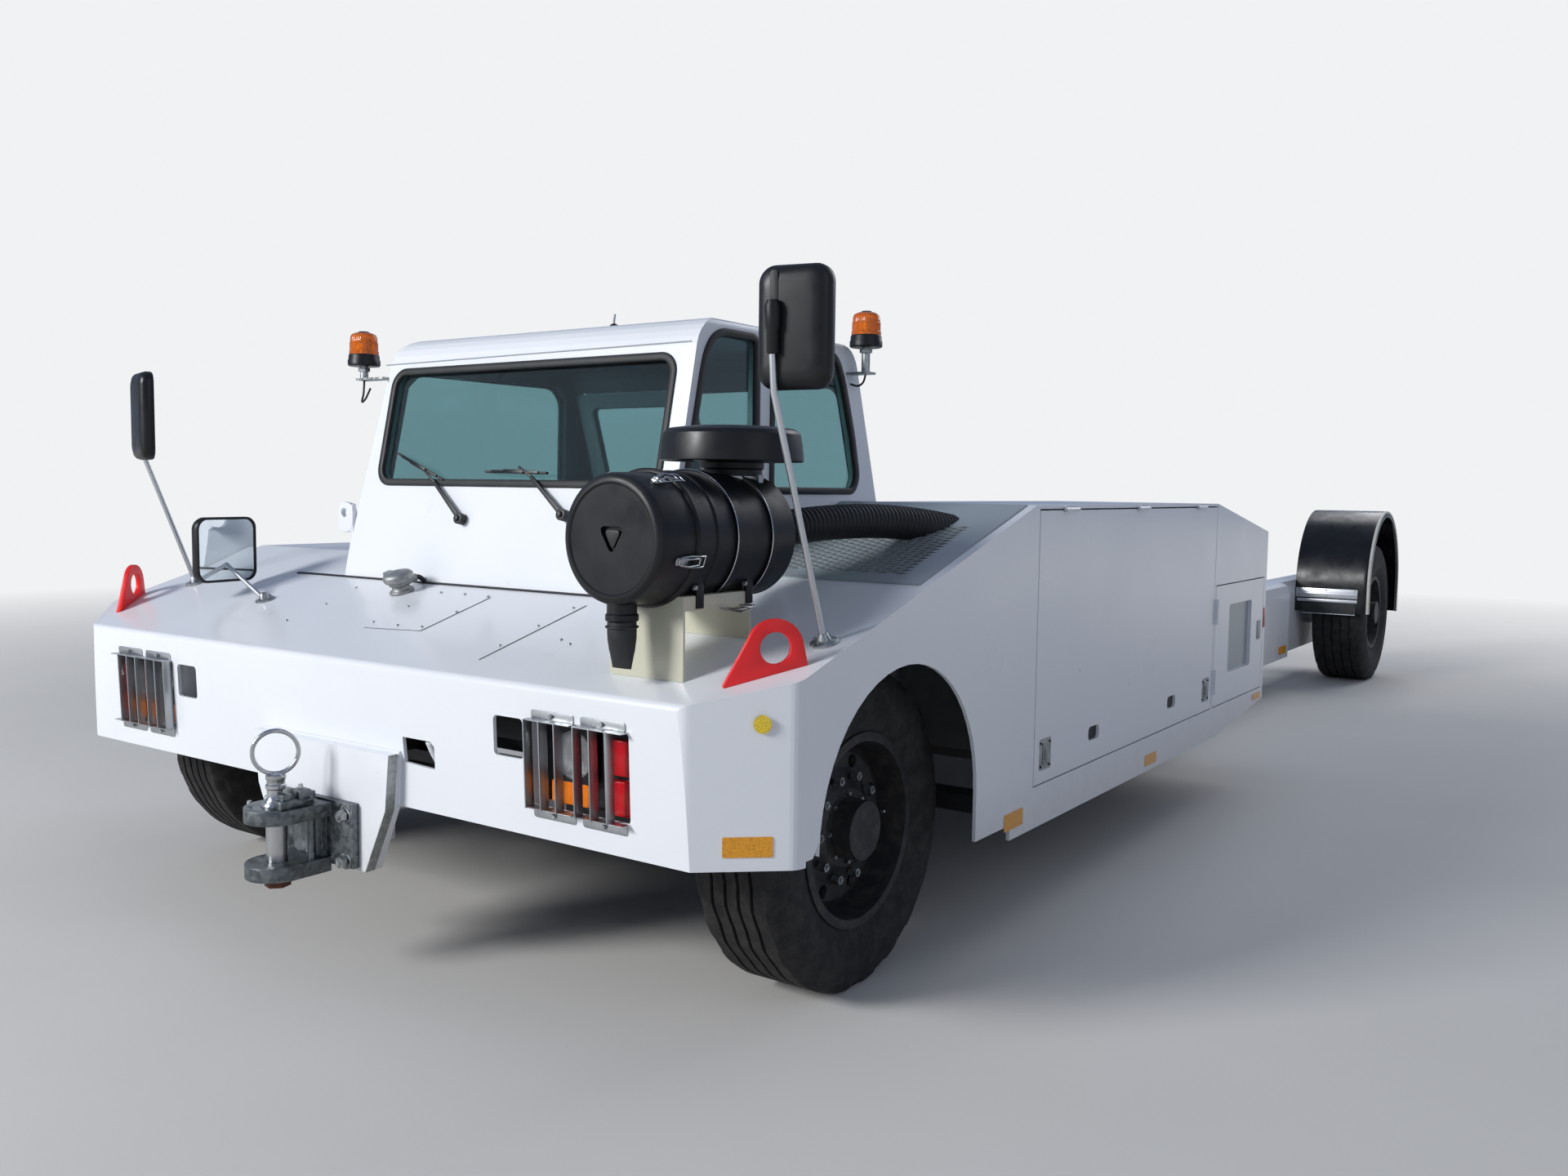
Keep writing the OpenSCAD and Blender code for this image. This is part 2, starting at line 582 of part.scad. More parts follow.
// Pocket in a door's outer face: a latch plate or a finger slot
module pocket(x0, z0, x1, z1, r, deep) yplate(half_w - deep, half_w + 1, rrect(x0, z0, x1, z1, r));
module engine_door() color([0.92, 0.93, 0.94]) place() {
    difference() {
        box([-sdoor_x + door_gap / 2, half_w - door_t, door_z + door_gap],
            [-edoor_x - door_gap, half_w, bay_z - plate - door_gap]);
        for (x = [-edoor_x - 100, -sdoor_x + 95]) pocket(x - 52, 540, x + 52, 655, 12, 5);
        for (x = [-edoor_x - 560, -sdoor_x + 590]) pocket(x - 55, 578, x + 55, 632, 20, 20);
    }
    bay_hinges() hinge_moving();
}
module service_door() color([0.92, 0.93, 0.94]) place() {
    difference() {
        box([-sdoor_end + door_gap, half_w - door_t, door_z + door_gap],
            [-sdoor_x - door_gap / 2 - 20 - door_gap, half_w, sdoor_top - door_gap]);
        yplate(half_w - 18, half_w + 1, rrect(-3560, 640, -3160, 980, 20));
    }
    service_hinges() hinge_moving();
}
module side_hatch() color([0.92, 0.93, 0.94]) place() {
    box([-hatch_end + door_gap, -half_w, door_z + door_gap],
        [-hatch_x - door_gap, -half_w + door_t, hatch_top - door_gap]);
    hatch_hinges() hinge_moving();
}

// Front axle with forked ends
module front_axle() color([0.16, 0.17, 0.18]) place() {
    difference() {
        union() {
            box([-75, -king_y + 160, hub_z - 111], [75, king_y - 160, hub_z + 10]);
            both() for (s = [-1, 1]) translate([0, 0, hub_z + s * 97 - 14]) {
                translate([0, king_y, 0]) cylinder(r = 62, h = 28);
                translate([-62, king_y - 160, 0]) cube([124, 160, 28]);
            }
            both() box([-75, king_y - 160, hub_z - 111], [75, king_y - 130, hub_z + 111]);
        }
        both() translate([0, king_y, 0]) cylinder(r = king_r + fit, h = 1000);
    }
    // spring seats under the rails
    both() box([-120, rail_y[0], hub_z + 10], [120, rail_y[1], rail_low]);
}
module knuckle() color([0.2, 0.2, 0.21]) place() translate([0, king_y, hub_z]) {
    translate([0, 0, -78]) cylinder(r = 58, h = 156);
    translate([0, 0, -120]) cylinder(r = king_r, h = 240);
    translate([0, 0, 0]) rotate([-90, 0, 0]) cylinder(r = spindle_r, h = f_track - king_y + 60);
    translate([0, 74, 0]) rotate([-90, 0, 0]) cylinder(r = 165, h = 14);
    translate([-lever, -20, -60]) cube([lever, 40, 34]);
    translate([-lever, 0, -60]) cylinder(r = 34, h = 34);
    translate([-lever, 0, -96]) cylinder(r = 14, h = 40);
}
module knuckle_left() knuckle();
module knuckle_right() mirror([0, 1, 0]) knuckle();
module tie_rod() color([0.3, 0.3, 0.32]) place() difference() {
    union() {
        ycyl(-lever, hub_z - 82, 18, -king_y, king_y);
        both() translate([-lever, king_y, hub_z - 100]) cylinder(r = 30, h = 36);
    }
    both() translate([-lever, king_y, 0]) cylinder(r = 14 + fit, h = 1000);
}

// Tyre section as radius over width
function tyre(r, w, b) = let (h = r - b, g = [[b + fit, 0.4], [b + 20, 0.4], [b + h * 0.3, 0.48],
    [b + h * 0.5, 0.5], [b + h * 0.8, 0.475], [r - 14, 0.43], [r, 0.37]])
    concat([for (p = g) [p[0], p[1] * w]], [for (i = [6:-1:0]) [g[i][0], -g[i][1] * w]]);
module wheel_at(x, y, z) place() translate([x, y, z]) rotate([y > 0 ? -90 : 90, 0, 0]) children();
module tyre_at(x, y, r, w) color([0.06, 0.06, 0.065]) wheel_at(x, y, r - 2)
    rotate_extrude($fn = 64) polygon(tyre(r, w, rim_r));
// Disc wheel with hand holes and hub: w tyre width, d outward offset of the disc
module rim_at(x, y, r, w, d) color([0.2, 0.21, 0.22]) wheel_at(x, y, r - 2) difference() {
    rotate_extrude($fn = 64) rim_section(w * 0.4 + fit, w / 2 - 6, d);
    for (i = [0:7]) rotate([0, 0, i * 45 + 22.5]) translate([rim_r - 80, 0, d]) cylinder(r = 22, h = 40);
}
module rim_section(e, f, d) polygon([[rim_r - 16, -e - 10], [rim_r + 14, -e - 10], [rim_r + 14, -e],
    [rim_r, -e], [rim_r, e], [rim_r + 14, e], [rim_r + 14, e + 10], [rim_r - 14, e + 10], [rim_r - 22, d + 10],
    [rim_r - 55, d + 26], [rim_r - 105, d + 26], [140, d + 44], [120, d + 60], [95, d + 60], [90, f], [0, f],
    [0, d + 50], [spindle_r + fit, d + 50], [spindle_r + fit, -80], [110, -80], [120, d], [rim_r - 105, d + 10],
    [rim_r - 55, d + 10], [rim_r - 36, d - 6]]);
module tyre_front_left() tyre_at(0, f_track, f_tyre_r, f_tyre_w);
module tyre_front_right() tyre_at(0, -f_track, f_tyre_r, f_tyre_w);
module tyre_rear_left() tyre_at(-wheelbase, r_track, r_tyre_r, r_tyre_w);
module tyre_rear_right() tyre_at(-wheelbase, -r_track, r_tyre_r, r_tyre_w);
module rim_front_left() rim_at(0, f_track, f_tyre_r, f_tyre_w, 20);
module rim_front_right() rim_at(0, -f_track, f_tyre_r, f_tyre_w, 20);
module rim_rear_left() rim_at(-wheelbase, r_track, r_tyre_r, r_tyre_w, 20);
module rim_rear_right() rim_at(-wheelbase, -r_track, r_tyre_r, r_tyre_w, 20);

module arm() color([0.9, 0.91, 0.92]) place() {
    difference() {
        xplate(-step_line, -cross_end, [[arm_in, arm_base], [arm_out, arm_base], [arm_out, arm_top - 90],
            [arm_out - 20, arm_top - 20], [arm_out - 60, arm_top], [arm_in, arm_top]]);
        xplate(-step_line - 1, -cross_end - 20, [[arm_in + 15, arm_base + 15], [arm_out - 15, arm_base + 15],
            [arm_out - 15, arm_top - 100], [arm_out - 70, arm_top - 15], [arm_in + 15, arm_top - 15]]);
    }
    yplate(arm_in, arm_tail_out, [[-step_line, arm_base], [-step_line, arm_top], [-arm_end + 300, arm_top],
        [-arm_end, arm_top - 250], [-arm_end, arm_base + 120], [-arm_end + 200, arm_base]]);
    // stub axle
    ycyl(-wheelbase, rear_z, spindle_r, arm_tail_out - 5, r_track + 60);
    ycyl(-wheelbase, rear_z, 120, arm_tail_out - 5, r_track - 95);
}
module arm_left() arm();
module arm_right() mirror([0, 1, 0]) arm();

module cross_frame() color([0.9, 0.91, 0.92]) place() {
    difference() {
        box([-cross_end, -arm_out, arm_base], [-body_len, arm_out, arm_top]);
        box([-cross_end + 20, -arm_out + 20, arm_base - 1], [-body_len - 20, arm_out - 20, arm_top - 15]);
    }
    // pivot ears of the cradle
    both() for (y = [520, 600]) difference() {
        yplate(y, y + 24, concat([[-cross_end, cradle_z - 90], [-cross_end, cradle_z + 90]],
            arc(-cradle_x, cradle_z, 60, 90, 270, 10)));
        ycyl(-cradle_x, cradle_z, 30 + fit, y - 1, y + 25);
    }
}

// Side view of the fender around the rear wheel: radius r, skirts drawn down by d
function fender_line(r, d) = concat([[-wheelbase + r, fender_front - d]],
    arc(-wheelbase, fender_z, r, 0, 180, 24), [[-wheelbase - r, fender_rear - d]]);
module fender() color([0.05, 0.05, 0.055]) place() difference() {
    yplate(arm_tail_out, fender_y, fender_line(fender_r + fender_t, 0));
    yplate(arm_tail_out - 1, fender_y - fender_t, fender_line(fender_r, 200));
    yplate(arm_tail_out - 1, fender_y + 1, fender_line(fender_open, 220));
    // the outer side ends level in front and behind
    yplate(fender_y - 60, fender_y + 2, [[-wheelbase - 2000, 0], [-wheelbase - 2000, fender_front - 10],
        [-wheelbase - fender_open - 10, fender_front - 10], [-wheelbase - fender_open - 10, 0]]);
}
module fenders() both() fender();

module cradle() color([0.86, 0.87, 0.88]) place() {
    both() yplate(cradle_y - 60, cradle_y, concat([[-tray_x + 350, cradle_z - 150]],
        arc(-cradle_x, cradle_z, 62, -80, 90, 8), [[-tray_x + 300, cradle_z], [-tray_x, tray_z + 200],
        [-tray_end + 80, tray_z + 120], [-tray_end + 80, tray_z], [-tray_x + 100, tray_z]]));
    ycyl(-cradle_x, cradle_z, 30, -cradle_y, cradle_y);
    box([-tray_end + 70, -cradle_y + 50, tray_z + 4], [-tray_x + 10, cradle_y - 50, tray_z + 24]);
    // stop in front of the nose wheels
    yplate(-cradle_y + 50, cradle_y - 50, [[-tray_x - 20, tray_z + 2], [-tray_x - 20, tray_z + 30],
        [-tray_x + 150, cradle_z - 60], [-tray_x + 175, cradle_z - 60], [-tray_x + 40, tray_z + 2]]);
    // gate pivots
    both() {
        box([-tray_end - 40, cradle_y - 58, tray_z + 3], [-tray_end + 90, cradle_y - 2, tray_z + 30]);
        translate([-tray_end, cradle_y - 30, tray_z + 10]) cylinder(r = 16, h = 190);
    }
}
module gate() color([0.86, 0.87, 0.88]) place() difference() {
    union() {
        translate([-tray_end, cradle_y - 30, tray_z + 31]) cylinder(r = 32, h = 150);
        box([-tray_end - 25, 20, tray_z + 40], [-tray_end + 25, cradle_y - 30, tray_z + 170]);
    }
    translate([-tray_end, cradle_y - 30, 0]) cylinder(r = 16 + fit, h = 2000);
}
module gate_left() gate();
module gate_right() mirror([0, 1, 0]) gate();

// Tow coupling on the bumper
module hitch_plate() {
    hitch_face();
    // ribs back to the first cross member
    both() yplate(100, 120, [[nose_x - 160, 380], [nose_x - 160, 540], [lean_x(540) + 6, 540],
        [lean_x(380) + 6, 380]]);
}
module hitch_face() intersection() {
    yplate(-400, 400, [[lean_x(300) - 1, 300], [lean_x(720) - 1, 720], [858, 720], [858, 300]]);
    xplate(700, 900, [[-226, 335], [226, 335], [324, 540], [342, 712], [-342, 712], [-324, 540]]);
}
module tow_jaws() color([0.6, 0.62, 0.64]) place() difference() {
    union() {
        box([858, -200, 344], [883, 200, 546]);
        for (z = [jaw_z, jaw_low]) {
            translate([pin_x, 0, z]) cylinder(r = jaw_r, h = jaw_t);
            box([883, -jaw_r, z], [pin_x, jaw_r, z + jaw_t]);
        }
        box([882, -70, jaw_low + jaw_t - 1], [900, 70, jaw_z + 1]);
        // spacer bar between the jaws
        translate([930, 62, jaw_low + jaw_t - 1]) cylinder(r = 12, h = jaw_z - jaw_low - jaw_t + 2);
    }
    translate([pin_x, 0, 0]) cylinder(r = pin_r + fit, h = 1000);
}
module tow_pin() color([0.7, 0.71, 0.72]) place() translate([pin_x, 0, 0]) {
    translate([0, 0, 288]) cylinder(r = pin_r + 8, h = jaw_low - 288 - fit);
    translate([0, 0, 300]) cylinder(r = pin_r, h = 270);
    translate([0, 0, jaw_z + jaw_t + fit]) cylinder(r1 = pin_r + 10, r2 = pin_r - 4, h = 30);
    translate([0, 0, 560]) cylinder(r = pin_r - 5, h = 76);
    // pull ring
    translate([0, 0, 690]) rotate([90, 0, -33]) rotate_extrude() translate([66, 0]) rotate(135) circle(r = 6);
}

// Everything below the sloping deck, raised by g
module under_deck(g) yplate(-1800, 1800, [[1000, deck_z(1000) + g], [-900, deck_z(-900) + g], [-900, 0],
    [1000, 0]]);

// Lifting lug on the deck near the corner, its plate turned with the deck's edge
lug_at = [nose_x - 217, half_w - 116];
lug_turn = 141.3;
lug_hole = [17, 1113];
lug_r = 42;
module lug() color([0.8, 0.05, 0.05]) place() difference() {
    translate([lug_at[0], lug_at[1], 0]) rotate([0, 0, lug_turn]) difference() {
        yplate(-9, 9, concat([[105, 900], [105, 1071]], arc(lug_hole[0], lug_hole[1], 77, 15, 162, 12),
            [[-122, 1018], [-122, 900]]));
        ycyl(lug_hole[0], lug_hole[1], lug_r, -20, 20);
    }
    under_deck(seat_gap);
}
module lugs() both() lug();

// Folded foot of a lamp guard: shelf at height z, flange of length h up or down along the bumper
function guard_foot(z, s, h) = [[lean_x(z) + seat_gap, z], [nose_x + 28, z], [nose_x + 28, z + 4 * s],
    [lean_x(z + 4 * s) + 4, z + 4 * s], [lean_x(z + h * s) + 4, z + h * s],
    [lean_x(z + h * s) + seat_gap, z + h * s]];
module lamp_set() color([0.7, 0.71, 0.72]) place() {
    // lens unit between the gusset walls, behind the opening
    box([nose_x - 80, lamp_y - 4, 646], [nose_x - 32, lamp_y + lamp_w + 4, 878]);
    for (y0 = [lamp_y + 1, lamp_y + 187]) {
        for (k = [0:2]) box([nose_x + 2, y0 + 4 + k * 58, 637], [nose_x + 28, y0 + 8 + k * 58, 887]);
        yplate(y0, y0 + 176, guard_foot(884, 1, 24));
        yplate(y0, y0 + 176, guard_foot(640, -1, 28));
    }
}
module lamps() both() lamp_set();

hose_r = 50;
filter = [540, half_w - 453, 1390];
filter_r = 172;
module air_cleaner() color([0.08, 0.08, 0.085]) place() {
    translate(filter) rotate([0, 90, 0]) {
        translate([0, 0, -310]) cylinder(r = filter_r - 8, h = 430);
        translate([0, 0, 108]) cylinder(r = filter_r, h = 16);
        translate([0, 0, 110]) cylinder(r = filter_r - 12, h = 180);
        translate([0, 0, 289]) cylinder(r1 = filter_r - 12, r2 = filter_r - 24, h = 12);
        for (z = [-200, -40]) translate([0, 0, z]) cylinder(r = filter_r, h = 36);
        translate([0, 0, -342]) cylinder(r = hose_r - 4, h = 60);
        translate([0, 0, -342]) sphere(r = hose_r + 4);
    }
    // neck and rain cap
    translate([filter[0] - 215, filter[1], filter[2]]) rotate_extrude() polygon([[0, 0], [94, 0], [88, 150],
        [94, 200], [130, 212], [190, 236], [206, 246], [206, 276], [196, 296], [165, 312], [110, 320], [0, 322]]);
    // dust valve
    translate([filter[0] + 255, filter[1], filter[2] - 344]) cylinder(r1 = 24, r2 = 40, h = 190);
}
module filter_bracket() color([0.8, 0.79, 0.7]) place() difference() {
    box([filter[0] - 140, filter[1] - 130, 0], [filter[0] + 160, filter[1] + 130, filter[2] - 150]);
    box([filter[0] - 132, filter[1] - 200, -1], [filter[0] + 152, filter[1] + 200, filter[2] - 190]);
    under_deck(seat_gap);
    translate(filter) rotate([0, 90, 0]) translate([0, 0, -500]) cylinder(r = filter_r + fit, h = 900);
}
hose_from = [filter[0] - 342, filter[1], filter[2]];
hose_to = [-640, half_w - 243, filter[2] + 10];
hose_sag = 35;
module hose_path(w) {
    d = norm([hose_to[0] - hose_from[0], hose_to[1] - hose_from[1]]);
    r = (d * d / 4 + hose_sag * hose_sag) / (2 * hose_sag);
    a = asin(d / 2 / r);
    translate(hose_from) rotate([0, 0, atan2(hose_to[1] - hose_from[1], hose_to[0] - hose_from[0])])
        translate([d / 2, 0, hose_sag - r]) rotate([90, 0, 0]) rotate([0, 0, 90 - a])
        rotate_extrude(angle = 2 * a, $fn = 360) translate([r, 0]) circle(r = w);
}
module intake_hose() color([0.07, 0.07, 0.075]) place() difference() {
    hose_path(hose_r);
    translate(hose_from) sphere(r = hose_r + 4 + fit);
}

// Mirror on the deck: b foot, t top of the pole, h turn and centre of the head, w width and height of the head
module mirror_arm(b, t, h, w) color([0.07, 0.07, 0.075]) place() {
    difference() {
        union() {
            translate(b) rotate([0, atan(deck_rise), 0]) cylinder(r = 40, h = 10);
            rod(b, t, 9);
        }
        under_deck(seat_gap);
    }
    translate([t[0] + 5, h[1], h[2]]) rotate([0, 0, h[0]]) yz_slab(-28, 24, w[0], w[1], 45);
}
// Round bar from a to b
module rod(a, b, r) translate(a) rotate([0, acos((b - a)[2] / norm(b - a)), atan2((b - a)[1], (b - a)[0])])
    linear_extrude(height = norm(b - a)) polygon(arc(0, 0, r, 0, 337.5, 15));
module yz_slab(x0, x1, w, h, r) xplate(x0, x1, rrect(-w / 2, -h / 2, w / 2, h / 2, r));
module mirrors() {
    mirror_arm([390, half_w - 83, deck_z(390) - 5], [606, half_w - 73, 1800], [12, half_w - 43, 1932],
        [200, 312]);
    mirror_arm([384, 201 - half_w, deck_z(384) - 5], [585, 168 - half_w, 1640], [-18, 193 - half_w, 1776],
        [214, 340]);
    mirror_small();
}
module mirror_small() color([0.07, 0.07, 0.075]) place() {
    difference() {
        union() {
            translate([473, -859, deck_z(473)]) rotate([0, atan(deck_rise), 0]) cylinder(r = 35, h = 10);
            rod([473, -859, deck_z(473) - 5], [473, -1122, 1215], 8);
        }
        under_deck(seat_gap);
    }
    translate([473, -1130, 1264]) rotate([0, 0, 98]) yz_slab(-22, 22, 274, 250, 45);
}

// Beacon at p on a bracket strip from b0 to b1
module beacon(p, b0, b1) color([0.9, 0.4, 0.02]) place() {
    translate(p) {
        cylinder(r = 62, h = 46);
        translate([0, 0, 45]) cylinder(r1 = 58, r2 = 50, h = 87);
        translate([0, 0, b0[2] - p[2]]) cylinder(r = 16, h = p[2] - b0[2] + 1);
    }
    box(b0, b1);
}
module beacons() {
    beacon([-900, cab_left + 70, roof_z - 25], [-930, cab_left + seat_gap, roof_z - 125],
        [-870, cab_left + 100, roof_z - 117]);
    beacon([40, -cab_right - 83, roof_z - 99], [10, -cab_right - 100, roof_z - 155],
        [70, right_y(roof_z - 155) - seat_gap, roof_z - 147]);
}

bumper();
deck();
intake_panel();
side_left();
side_right();
bay_roof();
low_deck();
step_well();
rear_wall();
chassis();
engine();
cab_shell();
windscreen();
cab_glass();
cab_door();
door_glass();
seat();
console();
engine_door();
service_door();
side_hatch();
front_axle();
knuckle_left();
knuckle_right();
tie_rod();
tyre_front_left();
tyre_front_right();
tyre_rear_left();
tyre_rear_right();
rim_front_left();
rim_front_right();
rim_rear_left();
rim_rear_right();
arm_left();
arm_right();
cross_frame();
fenders();
cradle();
gate_left();
gate_right();
tow_jaws();
tow_pin();
lugs();
lamps();
air_cleaner();
filter_bracket();
intake_hose();
mirrors();
beacons();
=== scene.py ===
"""Looks of the towbarless aircraft tractor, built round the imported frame."""

import math

import bmesh
import bpy
from mathutils import Matrix, Vector
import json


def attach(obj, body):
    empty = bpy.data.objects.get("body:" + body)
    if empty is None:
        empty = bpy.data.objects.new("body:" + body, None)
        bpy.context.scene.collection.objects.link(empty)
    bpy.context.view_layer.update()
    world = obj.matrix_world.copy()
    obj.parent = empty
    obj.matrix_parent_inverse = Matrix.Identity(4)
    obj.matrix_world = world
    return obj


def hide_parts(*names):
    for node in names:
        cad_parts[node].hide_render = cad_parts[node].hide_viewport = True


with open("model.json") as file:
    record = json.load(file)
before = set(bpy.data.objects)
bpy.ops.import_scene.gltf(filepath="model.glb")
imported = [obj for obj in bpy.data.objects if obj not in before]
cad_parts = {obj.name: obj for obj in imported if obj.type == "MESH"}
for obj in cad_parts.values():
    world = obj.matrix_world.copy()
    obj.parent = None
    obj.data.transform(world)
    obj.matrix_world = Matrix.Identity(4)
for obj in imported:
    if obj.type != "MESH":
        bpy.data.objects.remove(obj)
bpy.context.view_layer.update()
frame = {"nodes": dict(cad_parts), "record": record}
nodes = frame["nodes"]

# Places are in millimetres from the front axle, as on the drawing, and become metres here
AXLE_X = 3888.5


def at(x, y, z):
    return Vector(((x + AXLE_X) / 1000, y / 1000, z / 1000))


# Camera

CAMERA_PLACE = at(3304.1, 3481.8, 1528.6)
CAMERA_YAW = -145.17
CAMERA_PITCH = -4.46
CAMERA_ROLL = 0.73
CAMERA_LENS = 29.51
CAMERA_SENSOR = 36


def make_camera():
    yaw, pitch, roll = (math.radians(a) for a in (CAMERA_YAW, CAMERA_PITCH, CAMERA_ROLL))
    look = Vector((math.cos(pitch) * math.cos(yaw), math.cos(pitch) * math.sin(yaw), math.sin(pitch)))
    level = look.cross(Vector((0, 0, 1))).normalized()
    rise = level.cross(look)
    right = level * math.cos(roll) + rise * math.sin(roll)
    up = rise * math.cos(roll) - level * math.sin(roll)
    data = bpy.data.cameras.new("camera")
    data.lens = CAMERA_LENS
    data.sensor_width = CAMERA_SENSOR
    camera = bpy.data.objects.new("camera", data)
    turn = Matrix((right, up, -look)).transposed().to_4x4()
    camera.matrix_world = Matrix.Translation(CAMERA_PLACE) @ turn
    bpy.context.scene.collection.objects.link(camera)
    bpy.context.scene.camera = camera


# Node building

def linear(code):
    """A hex colour as linear red, green, blue and alpha."""
    parts = [int(code[i:i + 2], 16) / 255 for i in (0, 2, 4)]
    return [c / 12.92 if c <= 0.04045 else ((c + 0.055) / 1.055) ** 2.4 for c in parts] + [1.0]


def feed(tree, node, inputs):
    """Sets a node's inputs, each to a value or to the socket that drives it."""
    for key, value in inputs.items():
        if isinstance(value, bpy.types.NodeSocket):
            tree.links.new(value, node.inputs[key])
        else:
            node.inputs[key].default_value = value


def add(tree, kind, settings, inputs):
    """Adds a node with its settings and inputs, and gives its outputs."""
    node = tree.nodes.new(kind)
    for key, value in settings.items():
        setattr(node, key, value)
    feed(tree, node, inputs)
    return node.outputs


def surface(name, colour, roughness, metallic=0.0, **extra):
    """A material with its shader; more shader values go in by their socket names."""
    material = bpy.data.materials.new(name)
    material.use_nodes = True
    tree = material.node_tree
    shader = tree.nodes["Principled BSDF"]
    feed(tree, shader, {"Base Color": linear(colour), "Roughness": roughness, "Metallic": metallic})
    feed(tree, shader, {key.replace("_", " "): value for key, value in extra.items()})
    place = add(tree, "ShaderNodeTexCoord", {}, {})["Object"]
    return material, tree, shader, place


def clouds(tree, place, size_mm, detail=3.0, rough=0.5, span=(0.0, 1.0), share=(0.0, 1.0)):
    """Clouds about size_mm across; noise between the ends of span becomes the ends of share."""
    noise = add(tree, "ShaderNodeTexNoise", {}, {
        "Vector": place, "Scale": 1000 / size_mm, "Detail": detail, "Roughness": rough})["Fac"]
    return add(tree, "ShaderNodeMapRange", {}, {
        "Value": noise, "From Min": span[0], "From Max": span[1], "To Min": share[0], "To Max": share[1]})[0]


def stained(tree, place, first, second, *cloud):
    """The first colour with clouds of the second one."""
    return add(tree, "ShaderNodeMix", {"data_type": "RGBA"}, {
        0: clouds(tree, place, *cloud), 6: linear(first), 7: linear(second)})[2]


def relief(tree, place, size_mm, detail, depth_mm, strength):
    """A surface direction with bumps about size_mm across and depth_mm deep."""
    noise = add(tree, "ShaderNodeTexNoise", {}, {
        "Vector": place, "Scale": 1000 / size_mm, "Detail": detail, "Roughness": 0.5})["Fac"]
    return add(tree, "ShaderNodeBump", {}, {
        "Height": noise, "Distance": depth_mm / 1000, "Strength": strength})[0]


# Materials

DUST = "A39B8E"
DUST_FULL = 330


def enamel(name, colour, dust_top=560, roughness=0.3, coat=0.35):
    """Sprayed two-part enamel on steel sheet: glossy, faint orange peel, road film low down."""
    material, tree, shader, place = surface(name, colour, roughness, Coat_Weight=coat, Coat_Roughness=0.12)
    worn = stained(tree, place, colour, "B9BDBF", 420, 3.0, 0.5, (0.35, 0.7), (0.0, 0.05))
    height = add(tree, "ShaderNodeSeparateXYZ", {}, {"Vector": place})["Z"]
    film = add(tree, "ShaderNodeMapRange", {}, {
        "Value": height, "From Min": DUST_FULL / 1000, "From Max": dust_top / 1000,
        "To Min": 1.0, "To Max": 0.0})[0]
    for share in (clouds(tree, place, 70, 6.0, 0.65), 0.55):
        film = add(tree, "ShaderNodeMath", {"operation": "MULTIPLY"}, {0: film, 1: share})[0]
    # The real peel is under 2 mm; it is drawn 14 mm wide so that it shows
    feed(tree, shader, {
        "Base Color": add(tree, "ShaderNodeMix", {"data_type": "RGBA"}, {
            0: film, 6: worn, 7: linear(DUST)})[2],
        "Roughness": clouds(tree, place, 260, 2.0, 0.5, (0.3, 0.7), (roughness - 0.03, roughness + 0.04)),
        "Normal": relief(tree, place, 14, 2.0, 0.12, 0.3)})
    return material


def cab_enamel(name, colour, lining):
    """The body's enamel outside, and a dark moulded lining inside the walls."""
    material = enamel(name, colour)
    tree = material.node_tree
    shader = tree.nodes["Principled BSDF"]
    outer = shader.inputs["Base Color"].links[0].from_socket
    place = add(tree, "ShaderNodeTexCoord", {}, {})["Object"]
    # Which way each outer face looks, and a point on it; the lining starts 1.5 mm before the inner face
    faces = (((1, 0, CAB_SLOPE), at(CAB_FOOT[0], 0, CAB_FOOT[1])),
             ((-1, 0, BACK_SLOPE), at(-CAB_BACK[0], 0, CAB_BACK[1])),
             ((0, 1, 0), at(0, CAB_LEFT, 0)),
             ((0, -1, 0), at(0, -CAB_RIGHT, 0)),
             ((0, 0, 1), at(0, 0, ROOF_Z)))
    inside = 1.0
    for away, corner in faces:
        limit = Vector(away).dot(corner) - (CAB_WALL - 1.5) / 1000
        reach = add(tree, "ShaderNodeVectorMath", {"operation": "DOT_PRODUCT"}, {0: place, 1: away})["Value"]
        within = add(tree, "ShaderNodeMath", {"operation": "LESS_THAN"}, {0: reach, 1: limit})[0]
        inside = add(tree, "ShaderNodeMath", {"operation": "MULTIPLY"}, {0: inside, 1: within})[0]
    lined = add(tree, "ShaderNodeMix", {"data_type": "RGBA"}, {0: inside, 6: outer, 7: linear(lining)})[2]
    feed(tree, shader, {"Base Color": lined})
    return material


def frame_paint():
    """Brushed-on black frame paint: satin, uneven, dusty in patches."""
    material, tree, shader, place = surface("frame_paint", "1B1C1E", 0.5)
    feed(tree, shader, {
        "Base Color": stained(tree, place, "1B1C1E", "4A463F", 120, 6.0, 0.7, (0.5, 0.75), (0.0, 0.35)),
        "Normal": relief(tree, place, 18, 3.0, 0.4, 0.6)})
    return material


def cast_grey():
    """Sand-cast iron with a thin grey paint: grainy and dull."""
    material, tree, shader, place = surface("cast_grey", "4E5254", 0.72)
    feed(tree, shader, {
        "Base Color": stained(tree, place, "3E4244", "5E6060", 60, 5.0),
        "Normal": relief(tree, place, 9, 4.0, 0.8, 0.7)})
    return material


def tinted_glass():
    """Green-tinted safety glass: clear, with a cool body colour."""
    material, tree, shader, place = surface("tinted_glass", "A2C0C3", 0.02, Transmission_Weight=1.0, IOR=1.45)
    feed(tree, shader, {"Roughness": clouds(tree, place, 240, 4.0, 0.5, (0.4, 0.8), (0.01, 0.06))})
    return material


def mirror_glass():
    """Silvered glass: a bright clean reflection."""
    material, tree, shader, place = surface("mirror_glass", "DDE3E6", 0.03, 1.0)
    feed(tree, shader, {"Roughness": clouds(tree, place, 90, 3.0, 0.5, (0.4, 0.8), (0.02, 0.08))})
    return material


